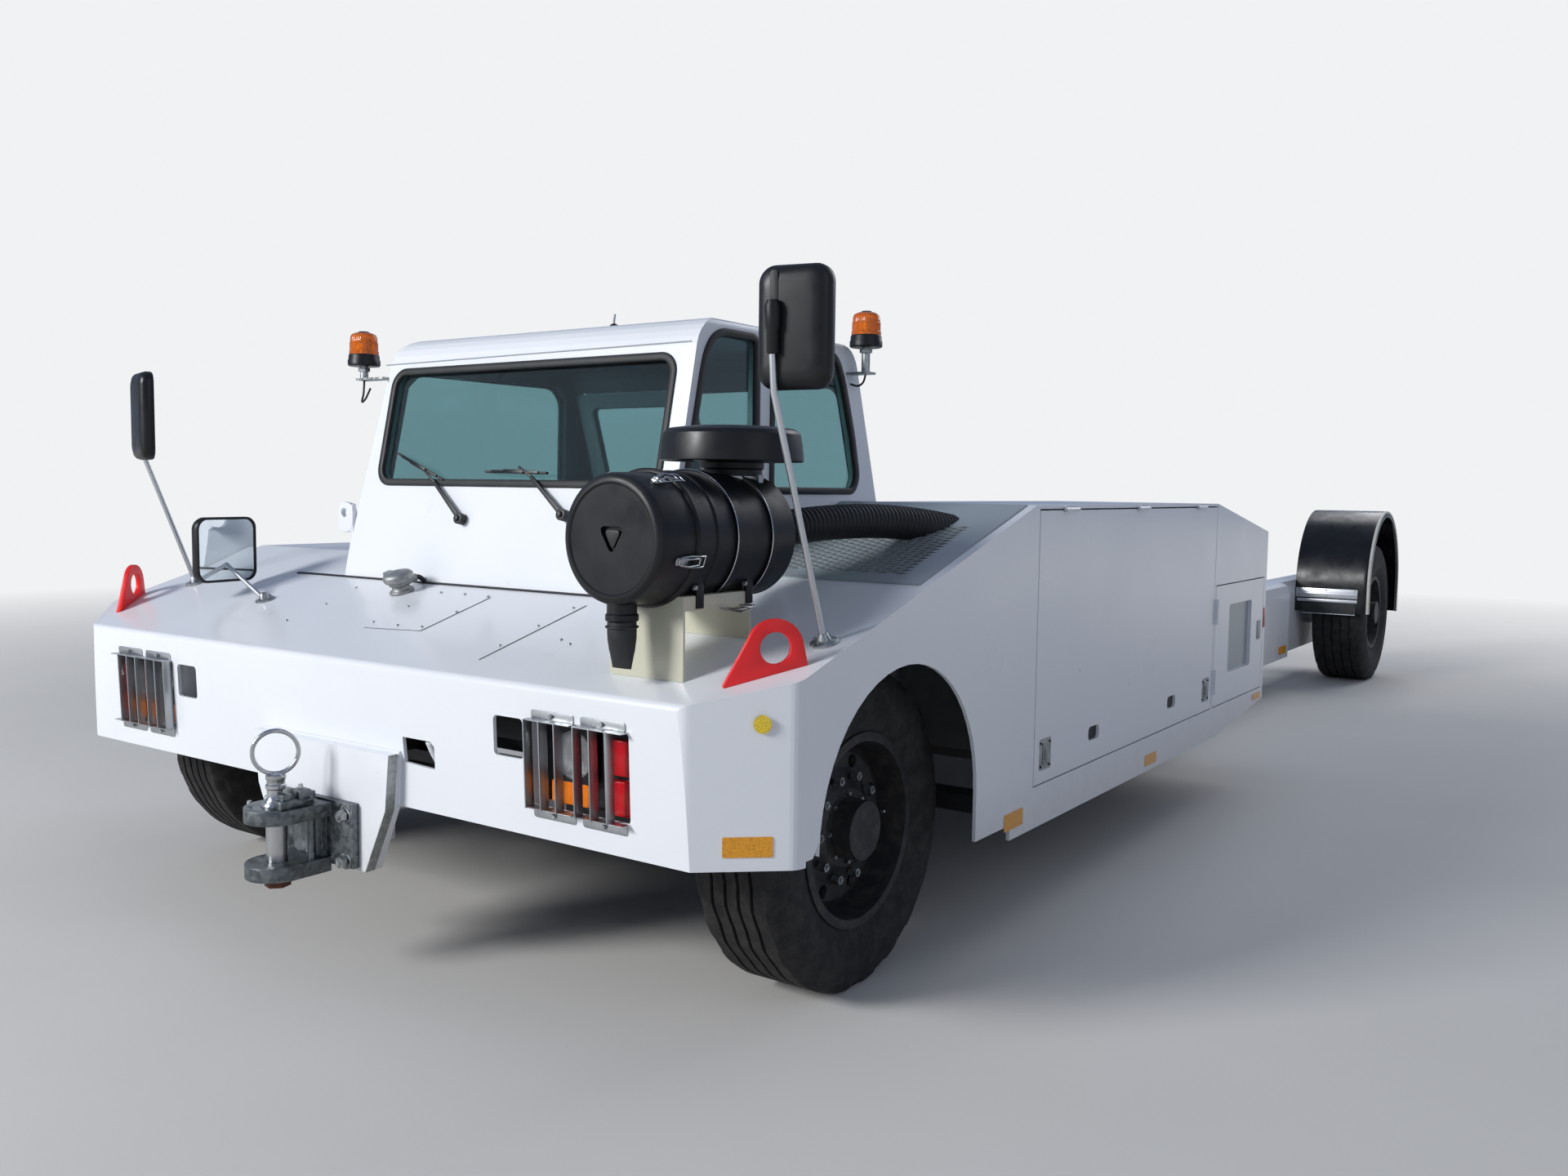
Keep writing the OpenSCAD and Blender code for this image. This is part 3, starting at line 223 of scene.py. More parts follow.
def tyre_rubber():
    """Vulcanised carbon-black rubber: dull, grey with road dust on the tread and in the ribs."""
    material, tree, shader, place = surface("tyre_rubber", "1E1E1F", 0.78, Specular_IOR_Level=0.35)
    feed(tree, shader, {
        "Base Color": stained(tree, place, "1C1C1D", "4B4844", 55, 7.0, 0.7, (0.42, 0.72), (0.0, 0.5)),
        "Normal": relief(tree, place, 6, 4.0, 0.5, 0.6)})
    return material


def moulded_rubber(name, colour):
    """Moulded rubber or soft plastic: satin skin with a fine grain."""
    material, tree, shader, place = surface(name, colour, 0.55)
    feed(tree, shader, {
        "Base Color": stained(tree, place, colour, "3A3B3C", 80, 5.0, 0.5, (0.45, 0.75), (0.0, 0.3)),
        "Normal": relief(tree, place, 5, 3.0, 0.3, 0.5)})
    return material


def glossy_plastic(name, colour, roughness):
    """Rotomoulded polyethylene: smooth and shiny with shallow waves from cooling."""
    material, tree, shader, place = surface(name, colour, roughness, Specular_IOR_Level=0.35)
    feed(tree, shader, {
        "Roughness": clouds(tree, place, 130, 5.0, 0.6, (0.3, 0.75), (roughness - 0.08, roughness + 0.2)),
        "Normal": relief(tree, place, 90, 2.0, 1.2, 0.35)})
    return material


def wheel_paint():
    """Dark dip-painted steel rim with brake dust in blotches."""
    material, tree, shader, place = surface("wheel_paint", "2B2C2E", 0.55, 0.2)
    feed(tree, shader, {
        "Base Color": stained(tree, place, "27282A", "55504A", 45, 6.0, 0.7, (0.45, 0.7), (0.0, 0.6)),
        "Normal": relief(tree, place, 12, 4.0, 0.5, 0.5)})
    return material


def galvanised(name, dark, pale):
    """Hot-dip zinc: grey metal with flat crystal spangles and dull patches."""
    material, tree, shader, place = surface(name, pale, 0.42, 1.0)
    # Spangles are about 14 mm across
    spangle = add(tree, "ShaderNodeTexVoronoi", {}, {"Vector": place, "Scale": 70.0})["Color"]
    tone = add(tree, "ShaderNodeSeparateColor", {}, {"Color": spangle})[0]
    feed(tree, shader, {
        "Base Color": add(tree, "ShaderNodeMix", {"data_type": "RGBA"}, {
            0: tone, 6: linear(dark), 7: linear(pale)})[2],
        "Roughness": add(tree, "ShaderNodeMapRange", {}, {"Value": tone, "To Min": 0.34, "To Max": 0.55})[0],
        "Normal": relief(tree, place, 20, 4.0, 0.4, 0.5)})
    return material


def galvanised_strip():
    """Zinc-coated sheet strip: bright, with a soft vertical smear from rolling."""
    material, tree, shader, place = surface("galvanised_strip", "B6B9BB", 0.36, 1.0)
    drawn = add(tree, "ShaderNodeMapping", {}, {"Vector": place, "Scale": (1.0, 1.0, 0.1)})[0]
    feed(tree, shader, {
        "Base Color": stained(tree, drawn, "C3C6C8", "9FA2A4", 12, 4.0),
        "Roughness": clouds(tree, drawn, 12, 4.0, 0.5, (0.3, 0.7), (0.28, 0.48))})
    return material


def turned_steel():
    """Turned bright steel: polished, with fine rings from the tool."""
    material, tree, shader, place = surface("turned_steel", "B9BABB", 0.2, 1.0)
    # Tool marks are under 0.3 mm apart; they are drawn 3 mm apart so that they show
    height = add(tree, "ShaderNodeSeparateXYZ", {}, {"Vector": place})["Z"]
    turns = add(tree, "ShaderNodeMath", {"operation": "MULTIPLY"}, {0: height, 1: 2 * math.pi / 0.003})[0]
    rings = add(tree, "ShaderNodeMath", {"operation": "SINE"}, {0: turns})[0]
    feed(tree, shader, {
        "Roughness": clouds(tree, place, 30, 4.0, 0.5, (0.35, 0.7), (0.14, 0.34)),
        "Normal": add(tree, "ShaderNodeBump", {}, {"Height": rings, "Distance": 0.0001, "Strength": 0.3})[0]})
    return material


def bare_aluminium():
    """Rolled aluminium strip: pale, soft sheen, brushed along the height."""
    material, tree, shader, place = surface("bare_aluminium", "BFC2C5", 0.38, 1.0)
    drawn = add(tree, "ShaderNodeMapping", {}, {"Vector": place, "Scale": (1.0, 1.0, 0.06)})[0]
    feed(tree, shader, {
        "Roughness": clouds(tree, drawn, 2.5, 3.0, 0.5, (0.3, 0.7), (0.3, 0.5)),
        "Normal": relief(tree, drawn, 2.5, 3.0, 0.05, 0.4)})
    return material


def cast_alloy():
    """Die-cast zinc-aluminium: pale grey, grainy, dull from weather."""
    material, tree, shader, place = surface("cast_alloy", "9A9C9C", 0.55, 0.85)
    feed(tree, shader, {
        "Base Color": stained(tree, place, "A6A8A7", "7C7D7A", 25, 6.0, 0.7, (0.4, 0.7)),
        "Normal": relief(tree, place, 5, 4.0, 0.3, 0.6)})
    return material


def rusty_steel():
    """Bare steel with a thin coat of orange-brown rust."""
    material, tree, shader, place = surface("rusty_steel", "6A3A24", 0.8)
    feed(tree, shader, {
        "Base Color": stained(tree, place, "7A4228", "3C2A22", 12, 6.0, 0.7),
        "Normal": relief(tree, place, 4, 5.0, 0.4, 0.8)})
    return material


def lens_plastic(name, colour, transmission):
    """Injection-moulded acrylic lamp lens: glassy, with vertical optic flutes inside."""
    material, tree, shader, place = surface(name, colour, 0.1, Transmission_Weight=transmission, IOR=1.49)
    # Optic flutes are about 4 mm apart
    width = add(tree, "ShaderNodeSeparateXYZ", {}, {"Vector": place})["Y"]
    turns = add(tree, "ShaderNodeMath", {"operation": "MULTIPLY"}, {0: width, 1: 2 * math.pi / 0.004})[0]
    flutes = add(tree, "ShaderNodeMath", {"operation": "SINE"}, {0: turns})[0]
    normal = add(tree, "ShaderNodeBump", {}, {"Height": flutes, "Distance": 0.0006, "Strength": 0.5})[0]
    feed(tree, shader, {"Normal": normal})
    return material


def prism_tape(name, colour):
    """Reflective tape: honeycomb cells of tiny prisms under a clear film."""
    material, tree, shader, place = surface(name, colour, 0.25, Coat_Weight=0.5)
    # Cells are about 6 mm across
    edge = add(tree, "ShaderNodeTexVoronoi", {"feature": "DISTANCE_TO_EDGE"}, {
        "Vector": place, "Scale": 160.0})["Distance"]
    line = add(tree, "ShaderNodeMapRange", {}, {
        "Value": edge, "From Min": 0.02, "From Max": 0.12, "To Min": 1.0, "To Max": 0.0})[0]
    share = add(tree, "ShaderNodeMath", {"operation": "MULTIPLY"}, {0: line, 1: 0.5})[0]
    feed(tree, shader, {
        "Base Color": add(tree, "ShaderNodeMix", {"data_type": "RGBA"}, {
            0: share, 6: linear(colour), 7: linear("7A4A06")})[2],
        "Normal": add(tree, "ShaderNodeBump", {}, {"Height": line, "Distance": 0.0002, "Strength": 0.4})[0]})
    return material


def seat_cloth():
    """Woven wool-blend seat cloth: fine over-and-under weave, soft sheen."""
    material, tree, shader, place = surface("seat_cloth", "2A2C30", 0.9, Sheen_Weight=0.4)
    x, y, z = add(tree, "ShaderNodeSeparateXYZ", {}, {"Vector": place})
    slant = add(tree, "ShaderNodeMath", {"operation": "ADD"}, {0: x, 1: z})[0]
    # Threads are 0.8 mm apart; they are drawn 4 mm apart so that they show
    weave = 1.0
    for way in (slant, y):
        turns = add(tree, "ShaderNodeMath", {"operation": "MULTIPLY"}, {0: way, 1: 2 * math.pi / 0.004})[0]
        wave = add(tree, "ShaderNodeMath", {"operation": "SINE"}, {0: turns})[0]
        weave = add(tree, "ShaderNodeMath", {"operation": "MULTIPLY"}, {0: weave, 1: wave})[0]
    share = add(tree, "ShaderNodeMapRange", {}, {"Value": weave, "From Min": -1.0})[0]
    feed(tree, shader, {
        "Base Color": add(tree, "ShaderNodeMix", {"data_type": "RGBA"}, {
            0: share, 6: linear("212327"), 7: linear("3A3D43")})[2],
        "Normal": add(tree, "ShaderNodeBump", {}, {"Height": weave, "Distance": 0.0004, "Strength": 0.6})[0]})
    return material


# Studio

FLOOR = "DAD8D4"
FLOOR_SIZE = 120
FADE_START = 5.5
FADE_END = 15.0
SURROUND = "F1F2F3"
SKY = "B4C6EA"
SKY_FILL = 0.3
SKY_SHINE = 0.5
# name, place and aim in millimetres from the front axle, size in metres, watts
LIGHTS = [
    ("key", (12000, -5200, 6800), (-1500, 0, 700), 4.0, 1850),
    ("fill", (2500, 11000, 6500), (-3500, 0, 700), 8.0, 130),
    ("back", (-15000, 2500, 9000), (-5000, 0, 600), 8.0, 600),
]


def seen_by(tree, rays, kinds):
    """1 for a camera ray and for the other kinds of ray that are named, else 0."""
    seen = rays["Is Camera Ray"]
    for kind in kinds:
        seen = add(tree, "ShaderNodeMath", {"operation": "MAXIMUM"}, {0: seen, 1: rays[kind]})[0]
    return seen


def make_floor():
    """Pale floor that fades into the surround far from the tractor, for the camera and in reflections."""
    material, tree, shader, place = surface("floor_finish", FLOOR, 0.9)
    feed(tree, shader, {"Base Color": stained(tree, place, FLOOR, "D2D0CB", 900, 4.0)})
    away = add(tree, "ShaderNodeVectorMath", {"operation": "LENGTH"}, {0: place})["Value"]
    fade = add(tree, "ShaderNodeMapRange", {}, {
        "Value": away, "From Min": FADE_START, "From Max": FADE_END})[0]
    rays = add(tree, "ShaderNodeLightPath", {}, {})
    seen = seen_by(tree, rays, ["Is Glossy Ray", "Is Transmission Ray"])
    share = add(tree, "ShaderNodeMath", {"operation": "MULTIPLY"}, {0: fade, 1: seen})[0]
    glow = add(tree, "ShaderNodeEmission", {}, {"Color": linear(SURROUND)})[0]
    mixed = add(tree, "ShaderNodeMixShader", {}, {0: share, 1: shader.outputs[0], 2: glow})[0]
    feed(tree, tree.nodes["Material Output"], {"Surface": mixed})
    bpy.ops.mesh.primitive_plane_add(size=FLOOR_SIZE, location=(0, 0, 0))
    floor = bpy.context.object
    floor.name = "floor"
    floor.data.materials.append(material)


def make_surround():
    """White to the camera and through glass, dimmer in reflections, and dimmer still as light."""
    world = bpy.data.worlds.new("surround")
    bpy.context.scene.world = world
    world.use_nodes = True
    tree = world.node_tree
    rays = add(tree, "ShaderNodeLightPath", {}, {})
    seen = seen_by(tree, rays, ["Is Transmission Ray"])
    shine = add(tree, "ShaderNodeMapRange", {}, {
        "Value": rays["Is Glossy Ray"], "To Min": SKY_FILL, "To Max": SKY_SHINE})[0]
    feed(tree, tree.nodes["Background"], {
        "Color": add(tree, "ShaderNodeMix", {"data_type": "RGBA"}, {
            0: seen, 6: linear(SKY), 7: linear(SURROUND)})[2],
        "Strength": add(tree, "ShaderNodeMath", {"operation": "MAXIMUM"}, {0: seen, 1: shine})[0]})


def make_lights():
    """Soft area lamps round the tractor."""
    for name, place_mm, aim_mm, size, watts in LIGHTS:
        data = bpy.data.lights.new(name, "AREA")
        data.size = size
        data.energy = watts
        lamp = bpy.data.objects.new(name, data)
        lamp.location = at(*place_mm)
        lamp.rotation_euler = (at(*aim_mm) - lamp.location).to_track_quat("-Z", "Y").to_euler()
        bpy.context.scene.collection.objects.link(lamp)
    bpy.context.scene.view_settings.view_transform = "Standard"


# Cab, as in the part's source: foot and roof bend as (distance from the axle, height)

CAB_WALL = 40
CAB_SLOPE = 0.2126
BACK_SLOPE = 0.3126
CAB_FOOT = (205, 1166)
CAB_BACK = (942, 2023)
CAB_LEFT = 850
CAB_RIGHT = 745
ROOF_Z = 2085

# Finishes

WHITE = "E7EAEE"
paint = {
    "white_paint": enamel("white_enamel", WHITE),
    "cab_paint": cab_enamel("cab_enamel", WHITE, "3A3D40"),
    "grey_panel": enamel("grey_enamel", "8F999E", 340, 0.4),
    "dark_frame": frame_paint(),
    "engine_grey": cast_grey(),
    "glass": tinted_glass(),
    "mirror": mirror_glass(),
    "seat_cover": seat_cloth(),
    "dash_plastic": moulded_rubber("dash_plastic", "232527"),
    "tyre": tyre_rubber(),
    "rim_paint": wheel_paint(),
    "fender_black": glossy_plastic("fender_plastic", "101114", 0.24),
    "galvanised": galvanised("galvanised", "8D9191", "B4B8B7"),
    "pin_steel": turned_steel(),
    "red_paint": enamel("red_enamel", "EE060C", 340, 0.38, 0.05),
    "lamp_guard": galvanised_strip(),
    "black_plastic": glossy_plastic("filter_plastic", "0E0F12", 0.36),
    "cream_paint": enamel("cream_enamel", "C8C6B0", 340, 0.4),
    "hose_rubber": moulded_rubber("hose_rubber", "18191B"),
    "seal_rubber": moulded_rubber("seal_rubber", "151617"),
    "amber_lens": lens_plastic("amber_lens", "F07C0C", 0.1),
    "red_lens": lens_plastic("red_lens", "C8101A", 0.1),
    "clear_lens": lens_plastic("clear_lens", "F2F4F6", 0.9),
    "amber_tape": prism_tape("amber_tape", "F4A50B"),
    "beacon_amber": lens_plastic("beacon_amber", "F2790A", 0.55),
    "bare_aluminium": bare_aluminium(),
    "cast_alloy": cast_alloy(),
    "worn_zinc": galvanised("worn_zinc", "5C6163", "7E8385"),
    "rusty_steel": rusty_steel(),
    "yellow_film": prism_tape("yellow_film", "F0D02A"),
    "pale_trim": moulded_rubber("pale_trim", "D8D6CC"),
}

# Finishes listed with another slot of the record than the one they are named for
SLOTS = {
    "mirror": "pin_steel", "seal_rubber": "hose_rubber", "red_lens": "red_paint", "clear_lens": "glass",
    "amber_tape": "amber_lens", "beacon_amber": "amber_lens", "yellow_film": "amber_lens",
    "bare_aluminium": "lamp_guard", "cast_alloy": "galvanised", "worn_zinc": "galvanised",
    "rusty_steel": "dark_frame", "pale_trim": "cream_paint",
}


# Mesh building

class Shape:
    """Collects closed forms into one mesh; points are metres in the tractor's frame."""

    def __init__(self):
        self.points = []
        self.faces = []

    def loft(self, rings, loop=False):
        """Skin over rings of equally many points, closed to a loop or capped at both ends."""
        start, count, total = len(self.points), len(rings[0]), len(rings)
        for ring in rings:
            self.points.extend(ring)
        for i in range(total if loop else total - 1):
            a, b = start + i * count, start + (i + 1) % total * count
            self.faces += [(a + j, a + (j + 1) % count, b + (j + 1) % count, b + j) for j in range(count)]
        if not loop:
            self.faces.append(tuple(range(start, start + count))[::-1])
            self.faces.append(tuple(range(start + (total - 1) * count, start + total * count)))
        return self

    def prism(self, outline, low, high, place=at):
        """A flat outline in millimetres with thickness; place turns (u, v, height) into a point."""
        return self.loft([[place(u, v, h) for u, v in outline] for h in (low, high)])

    def box(self, low, high, place=at):
        outline = [(low[0], low[1]), (high[0], low[1]), (high[0], high[1]), (low[0], high[1])]
        return self.prism(outline, low[2], high[2], place)

    def lathe(self, profile, place, sides=48):
        """Turned form; profile is (radius, distance along), place turns (u, v, along) into a point."""
        return self.loft([hoop(place, radius, along, sides) for radius, along in profile])

    def ring(self, section, place, sides=64):
        """A closed section of (radius, along) carried right round the axis."""
        rings = [[place(r * math.cos(a), r * math.sin(a), t) for r, t in section] for a in circle(sides)]
        return self.loft(rings, loop=True)

    def washer(self, outer, inner, low, high, place=at):
        """Flat form between two outlines of equally many points."""
        return self.loft([[place(*b, low), place(*a, low), place(*a, high), place(*b, high)]
                          for a, b in zip(outer, inner)], loop=True)

    def strip(self, outline, inward, outward, low, high, place):
        """A lip that follows an outline, reaching inwards and outwards from it."""
        rings, corners = [], [Vector(p) for p in outline]
        area = sum(a.x * b.y - b.x * a.y for a, b in zip(corners, corners[1:] + corners[:1]))
        lip = [(-inward, low), (outward, low), (outward, high - 2), (outward - 2, high), (2 - inward, high),
               (-inward, high - 2)]
        for i, here in enumerate(corners):
            run = (corners[(i + 1) % len(corners)] - corners[i - 1]).normalized()
            away = Vector((run.y, -run.x)) * (1 if area > 0 else -1)
            rings.append([place(*(here + away * d), h) for d, h in lip])
        return self.loft(rings, loop=True)


def circle(sides):
    return [2 * math.pi * i / sides for i in range(sides)]


def hoop(place, radius, along, sides):
    """Points round the axis of a placing function."""
    return [place(radius * math.cos(a), radius * math.sin(a), along) for a in circle(sides)]


def disc(u, v, radius, sides, tall=None):
    """Round outline; with tall given it is an ellipse that reaches that far up."""
    tall = tall or radius
    return [(u + radius * math.cos(a), v + tall * math.sin(a)) for a in circle(sides)]


def arc(u, v, radius, angles):
    return [(u + radius * math.cos(math.radians(a)), v + radius * math.sin(math.radians(a))) for a in angles]


def rounded(x0, y0, x1, y1, radius, steps=5):
    """Rectangle outline with round corners, anticlockwise."""
    corners = [(x1 - radius, y1 - radius, 0), (x0 + radius, y1 - radius, 90),
               (x0 + radius, y0 + radius, 180), (x1 - radius, y0 + radius, 270)]
    made = []
    for u, v, start in corners:
        made += arc(u, v, radius, [start + 90 * i / steps for i in range(steps + 1)])
    return made


def fillet(outline, radius, steps=4):
    """The same outline with its corners rounded."""
    made = []
    for i, corner in enumerate(outline):
        here = Vector(corner)
        before = Vector(outline[i - 1]) - here
        after = Vector(outline[(i + 1) % len(outline)]) - here
        reach = min(radius, before.length * 0.45, after.length * 0.45)
        first, last = here + before.normalized() * reach, here + after.normalized() * reach
        for k in range(steps + 1):
            t = k / steps
            made.append(tuple(first * (1 - t) ** 2 + here * 2 * t * (1 - t) + last * t * t))
    return made


def bend(points, steps=6):
    """A smooth path through a few given points."""
    made = []
    ends = [points[0] * 2 - points[1]] + list(points) + [points[-1] * 2 - points[-2]]
    for a, b, c, d in zip(ends, ends[1:], ends[2:], ends[3:]):
        for k in range(steps):
            t = k / steps
            made.append(0.5 * (2 * b + (c - a) * t + (2 * a - 5 * b + 4 * c - d) * t * t
                               + (3 * b - a - 3 * c + d) * t ** 3))
    return made + [points[-1]]


def turned(origin, along, up=(0, 0, 1)):
    """Placing function for a local frame: third axis along, second as near to up as it goes."""
    origin = at(*origin)
    third = Vector(along).normalized()
    first = Vector((0, 1, 0) if abs(third.z) > 0.99 else up).cross(third).normalized()
    second = third.cross(first)

    def place(u, v, w):
        return origin + (first * u + second * v + third * w) / 1000
    return place


# Pieces

MERGE = 2e-5


def plain_mesh(thing):
    """Applies the modifiers, so that the result is an ordinary mesh."""
    bpy.context.view_layer.update()
    graph = bpy.context.evaluated_depsgraph_get()
    mesh = bpy.data.meshes.new_from_object(thing.evaluated_get(graph))
    thing.modifiers.clear()
    thing.data = mesh
    mesh.name = thing.name


def show(name, mesh):
    thing = bpy.data.objects.new(name, mesh)
    bpy.context.scene.collection.objects.link(thing)
    return thing


def closed_mesh(name, shape):
    """The shape's mesh, with double points merged and its faces pointing outwards."""
    mesh = bpy.data.meshes.new(name)
    mesh.from_pydata(shape.points, [], shape.faces)
    work = bmesh.new()
    work.from_mesh(mesh)
    bmesh.ops.remove_doubles(work, verts=work.verts, dist=MERGE)
    bmesh.ops.recalc_face_normals(work, faces=work.faces)
    work.to_mesh(mesh)
    work.free()
    return mesh


def bevel(thing, width_mm, segments, angle):
    """Breaks the edges that turn by more than the angle."""
    edge = thing.modifiers.new("edge", "BEVEL")
    edge.width = width_mm / 1000
    edge.segments = segments
    edge.limit_method = "ANGLE"
    edge.angle_limit = math.radians(angle)
    plain_mesh(thing)


def settle(thing, body, material, smooth, replaces=()):
    """Shades a piece, lets it ride on its body and hides the nodes it replaces."""
    thing.data.shade_smooth()
    thing.data.set_sharp_from_angle(angle=math.radians(smooth))
    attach(thing, body)
    SLOTS.get(material, material)
    if replaces:
        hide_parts(*replaces)
    return thing


def piece(name, shape, material, body="tractor", bevel_mm=0.0, smooth=38, replaces=()):
    """A finished piece with its own finish, riding on its body."""
    thing = show(name, closed_mesh(name, shape))
    if bevel_mm:
        bevel(thing, bevel_mm, 2, 30)
    thing.data.materials.append(paint[material])
    return settle(thing, body, material, smooth, replaces)


def carve(thing, shape):
    """Cuts a closed form out of a piece."""
    cutter = show("cutter", closed_mesh("cutter", shape))
    finish = thing.data.materials[0]
    cut = thing.modifiers.new("cut", "BOOLEAN")
    cut.object = cutter
    cut.solver = "EXACT"
    plain_mesh(thing)
    thing.data.materials.clear()
    thing.data.materials.append(finish)
    thing.data.set_sharp_from_angle(angle=math.radians(24))
    bpy.data.objects.remove(cutter)


def softened(node, radius_mm, material):
    """A copy of a node with its sharp edges broken by a small round."""
    mesh = nodes[node].data.copy()
    work = bmesh.new()
    work.from_mesh(mesh)
    bmesh.ops.remove_doubles(work, verts=work.verts, dist=MERGE / 2)
    bmesh.ops.dissolve_limit(work, angle_limit=math.radians(2), verts=work.verts, edges=work.edges)
    work.to_mesh(mesh)
    work.free()
    mesh.materials.clear()
    mesh.materials.append(paint[material])
    thing = show(f"{node}_rounded", mesh)
    bevel(thing, radius_mm, 3, 32)
    return settle(thing, "tractor", material, 35, [node])


# Geometry node trees

def new_tree(name, sizes):
    tree = bpy.data.node_groups.new(name, "GeometryNodeTree")
    tree.interface.new_socket("Geometry", in_out="INPUT", socket_type="NodeSocketGeometry")
    for label, kind, default in sizes:
        tree.interface.new_socket(label, in_out="INPUT", socket_type=kind).default_value = default
    tree.interface.new_socket("Finish", in_out="INPUT", socket_type="NodeSocketMaterial")
    tree.interface.new_socket("Geometry", in_out="OUTPUT", socket_type="NodeSocketGeometry")
    return tree, tree.nodes.new("NodeGroupInput").outputs


def close_tree(tree, given, geometry):
    real = add(tree, "GeometryNodeRealizeInstances", {}, {"Geometry": geometry})[0]
    done = add(tree, "GeometryNodeSetMaterial", {}, {"Geometry": real, "Material": given["Finish"]})[0]
    add(tree, "NodeGroupOutput", {}, {"Geometry": done})
    return tree


def stud_tree():
    """A domed stud on every point, standing along the point's facing."""
    tree, given = new_tree("studs", [("Radius", "NodeSocketFloat", 0.01), ("Height", "NodeSocketFloat", 0.005),
                                     ("Sides", "NodeSocketInt", 12), ("Crown", "NodeSocketFloat", 0.8)])
    crown = add(tree, "ShaderNodeMath", {"operation": "MULTIPLY"}, {0: given["Radius"], 1: given["Crown"]})[0]
    stud = add(tree, "GeometryNodeMeshCone", {}, {
        "Vertices": given["Sides"], "Radius Top": crown, "Radius Bottom": given["Radius"],
        "Depth": given["Height"]})["Mesh"]
    facing = add(tree, "GeometryNodeInputNamedAttribute", {"data_type": "FLOAT_VECTOR"}, {
        "Name": "facing"})[0]
    turn = add(tree, "FunctionNodeAlignRotationToVector", {"axis": "Z"}, {"Vector": facing})[0]
    stand = add(tree, "GeometryNodeInstanceOnPoints", {}, {
        "Points": given["Geometry"], "Instance": stud, "Rotation": turn})[0]
    return close_tree(tree, given, stand)


def rod_tree():
    """A round rod along every chain of edges."""
    tree, given = new_tree("rods", [("Radius", "NodeSocketFloat", 0.005), ("Sides", "NodeSocketInt", 10)])
    line = add(tree, "GeometryNodeMeshToCurve", {}, {"Mesh": given["Geometry"]})[0]
    section = add(tree, "GeometryNodeCurvePrimitiveCircle", {}, {
        "Resolution": given["Sides"], "Radius": given["Radius"]})["Curve"]
    skin = add(tree, "GeometryNodeCurveToMesh", {}, {
        "Curve": line, "Profile Curve": section, "Fill Caps": True})[0]
    return close_tree(tree, given, skin)


def hose_tree():
    """A corrugated hose along a chain of edges: the radius rises and falls once a pitch."""
    tree, given = new_tree("hose", [("Radius", "NodeSocketFloat", 0.06), ("Rib", "NodeSocketFloat", 0.004),
                                    ("Pitch", "NodeSocketFloat", 0.012), ("Sides", "NodeSocketInt", 40)])
    line = add(tree, "GeometryNodeMeshToCurve", {}, {"Mesh": given["Geometry"]})[0]
    step = add(tree, "ShaderNodeMath", {"operation": "DIVIDE"}, {0: given["Pitch"], 1: 6.0})[0]
    even = add(tree, "GeometryNodeResampleCurve", {"mode": "LENGTH"}, {"Curve": line, "Length": step})[0]
    along = add(tree, "GeometryNodeSplineParameter", {}, {})["Length"]
    pitches = add(tree, "ShaderNodeMath", {"operation": "DIVIDE"}, {0: along, 1: given["Pitch"]})[0]
    turns = add(tree, "ShaderNodeMath", {"operation": "MULTIPLY"}, {0: pitches, 1: 2 * math.pi})[0]
    sine = add(tree, "ShaderNodeMath", {"operation": "SINE"}, {0: turns})[0]
    wave = add(tree, "ShaderNodeMath", {"operation": "MULTIPLY"}, {0: sine, 1: given["Rib"]})[0]
    sunk = add(tree, "ShaderNodeMath", {"operation": "ADD"}, {0: given["Rib"], 1: wave})[0]
    radius = add(tree, "ShaderNodeMath", {"operation": "SUBTRACT"}, {0: given["Radius"], 1: sunk})[0]
    ribbed = add(tree, "GeometryNodeSetCurveRadius", {}, {"Curve": even, "Radius": radius})[0]
    section = add(tree, "GeometryNodeCurvePrimitiveCircle", {}, {
        "Resolution": given["Sides"], "Radius": 1.0})["Curve"]
    width = add(tree, "GeometryNodeInputNamedAttribute", {"data_type": "FLOAT"}, {"Name": "radius"})[0]
    skin = add(tree, "GeometryNodeCurveToMesh", {}, {
        "Curve": ribbed, "Profile Curve": section, "Scale": width, "Fill Caps": True})[0]
    return close_tree(tree, given, skin)


trees = {"studs": stud_tree(), "rods": rod_tree(), "hose": hose_tree()}


def grow(name, points, chains, tree, sizes, material, body="tractor", facing=None, replaces=()):
    """Runs a tree over points and chains of them, and keeps the result as a plain mesh."""
    edges = [(a, b) for chain in chains for a, b in zip(chain, chain[1:])]
    seed = bpy.data.meshes.new(name)
    seed.from_pydata(points, edges, [])
    if facing:
        layer = seed.attributes.new("facing", "FLOAT_VECTOR", "POINT")
        for item in layer.data:
            item.vector = facing
    thing = show(name, seed)
    grown = thing.modifiers.new("grown", "NODES")
    grown.node_group = trees[tree]
    sizes = dict(sizes, Finish=paint[material])
    for item in trees[tree].interface.items_tree:
        if item.in_out == "INPUT" and item.name in sizes:
            grown[item.identifier] = sizes[item.name]
    plain_mesh(thing)
    return settle(thing, body, material, 38, replaces)


def rods(name, paths, radius_mm, material, sides=10, closed=False, **rest):
    """Rods along paths of points."""
    points, chains = [], []
    for path in paths:
        first = len(points)
        points.extend(path)
        chains.append(list(range(first, len(points))) + ([first] if closed else []))
    return grow(name, points, chains, "rods", {"Radius": radius_mm / 1000, "Sides": sides}, material, **rest)


def studs(name, places, facing, radius_mm, height_mm, material, sides=12, crown=0.8, **rest):
    """Studs on points, all facing one way."""
    sizes = {"Radius": radius_mm / 1000, "Height": height_mm / 1000, "Sides": sides, "Crown": crown}
    return grow(name, places, [], "studs", sizes, material, facing=facing, **rest)


# The nodes keep their shapes and take the finishes of their slots

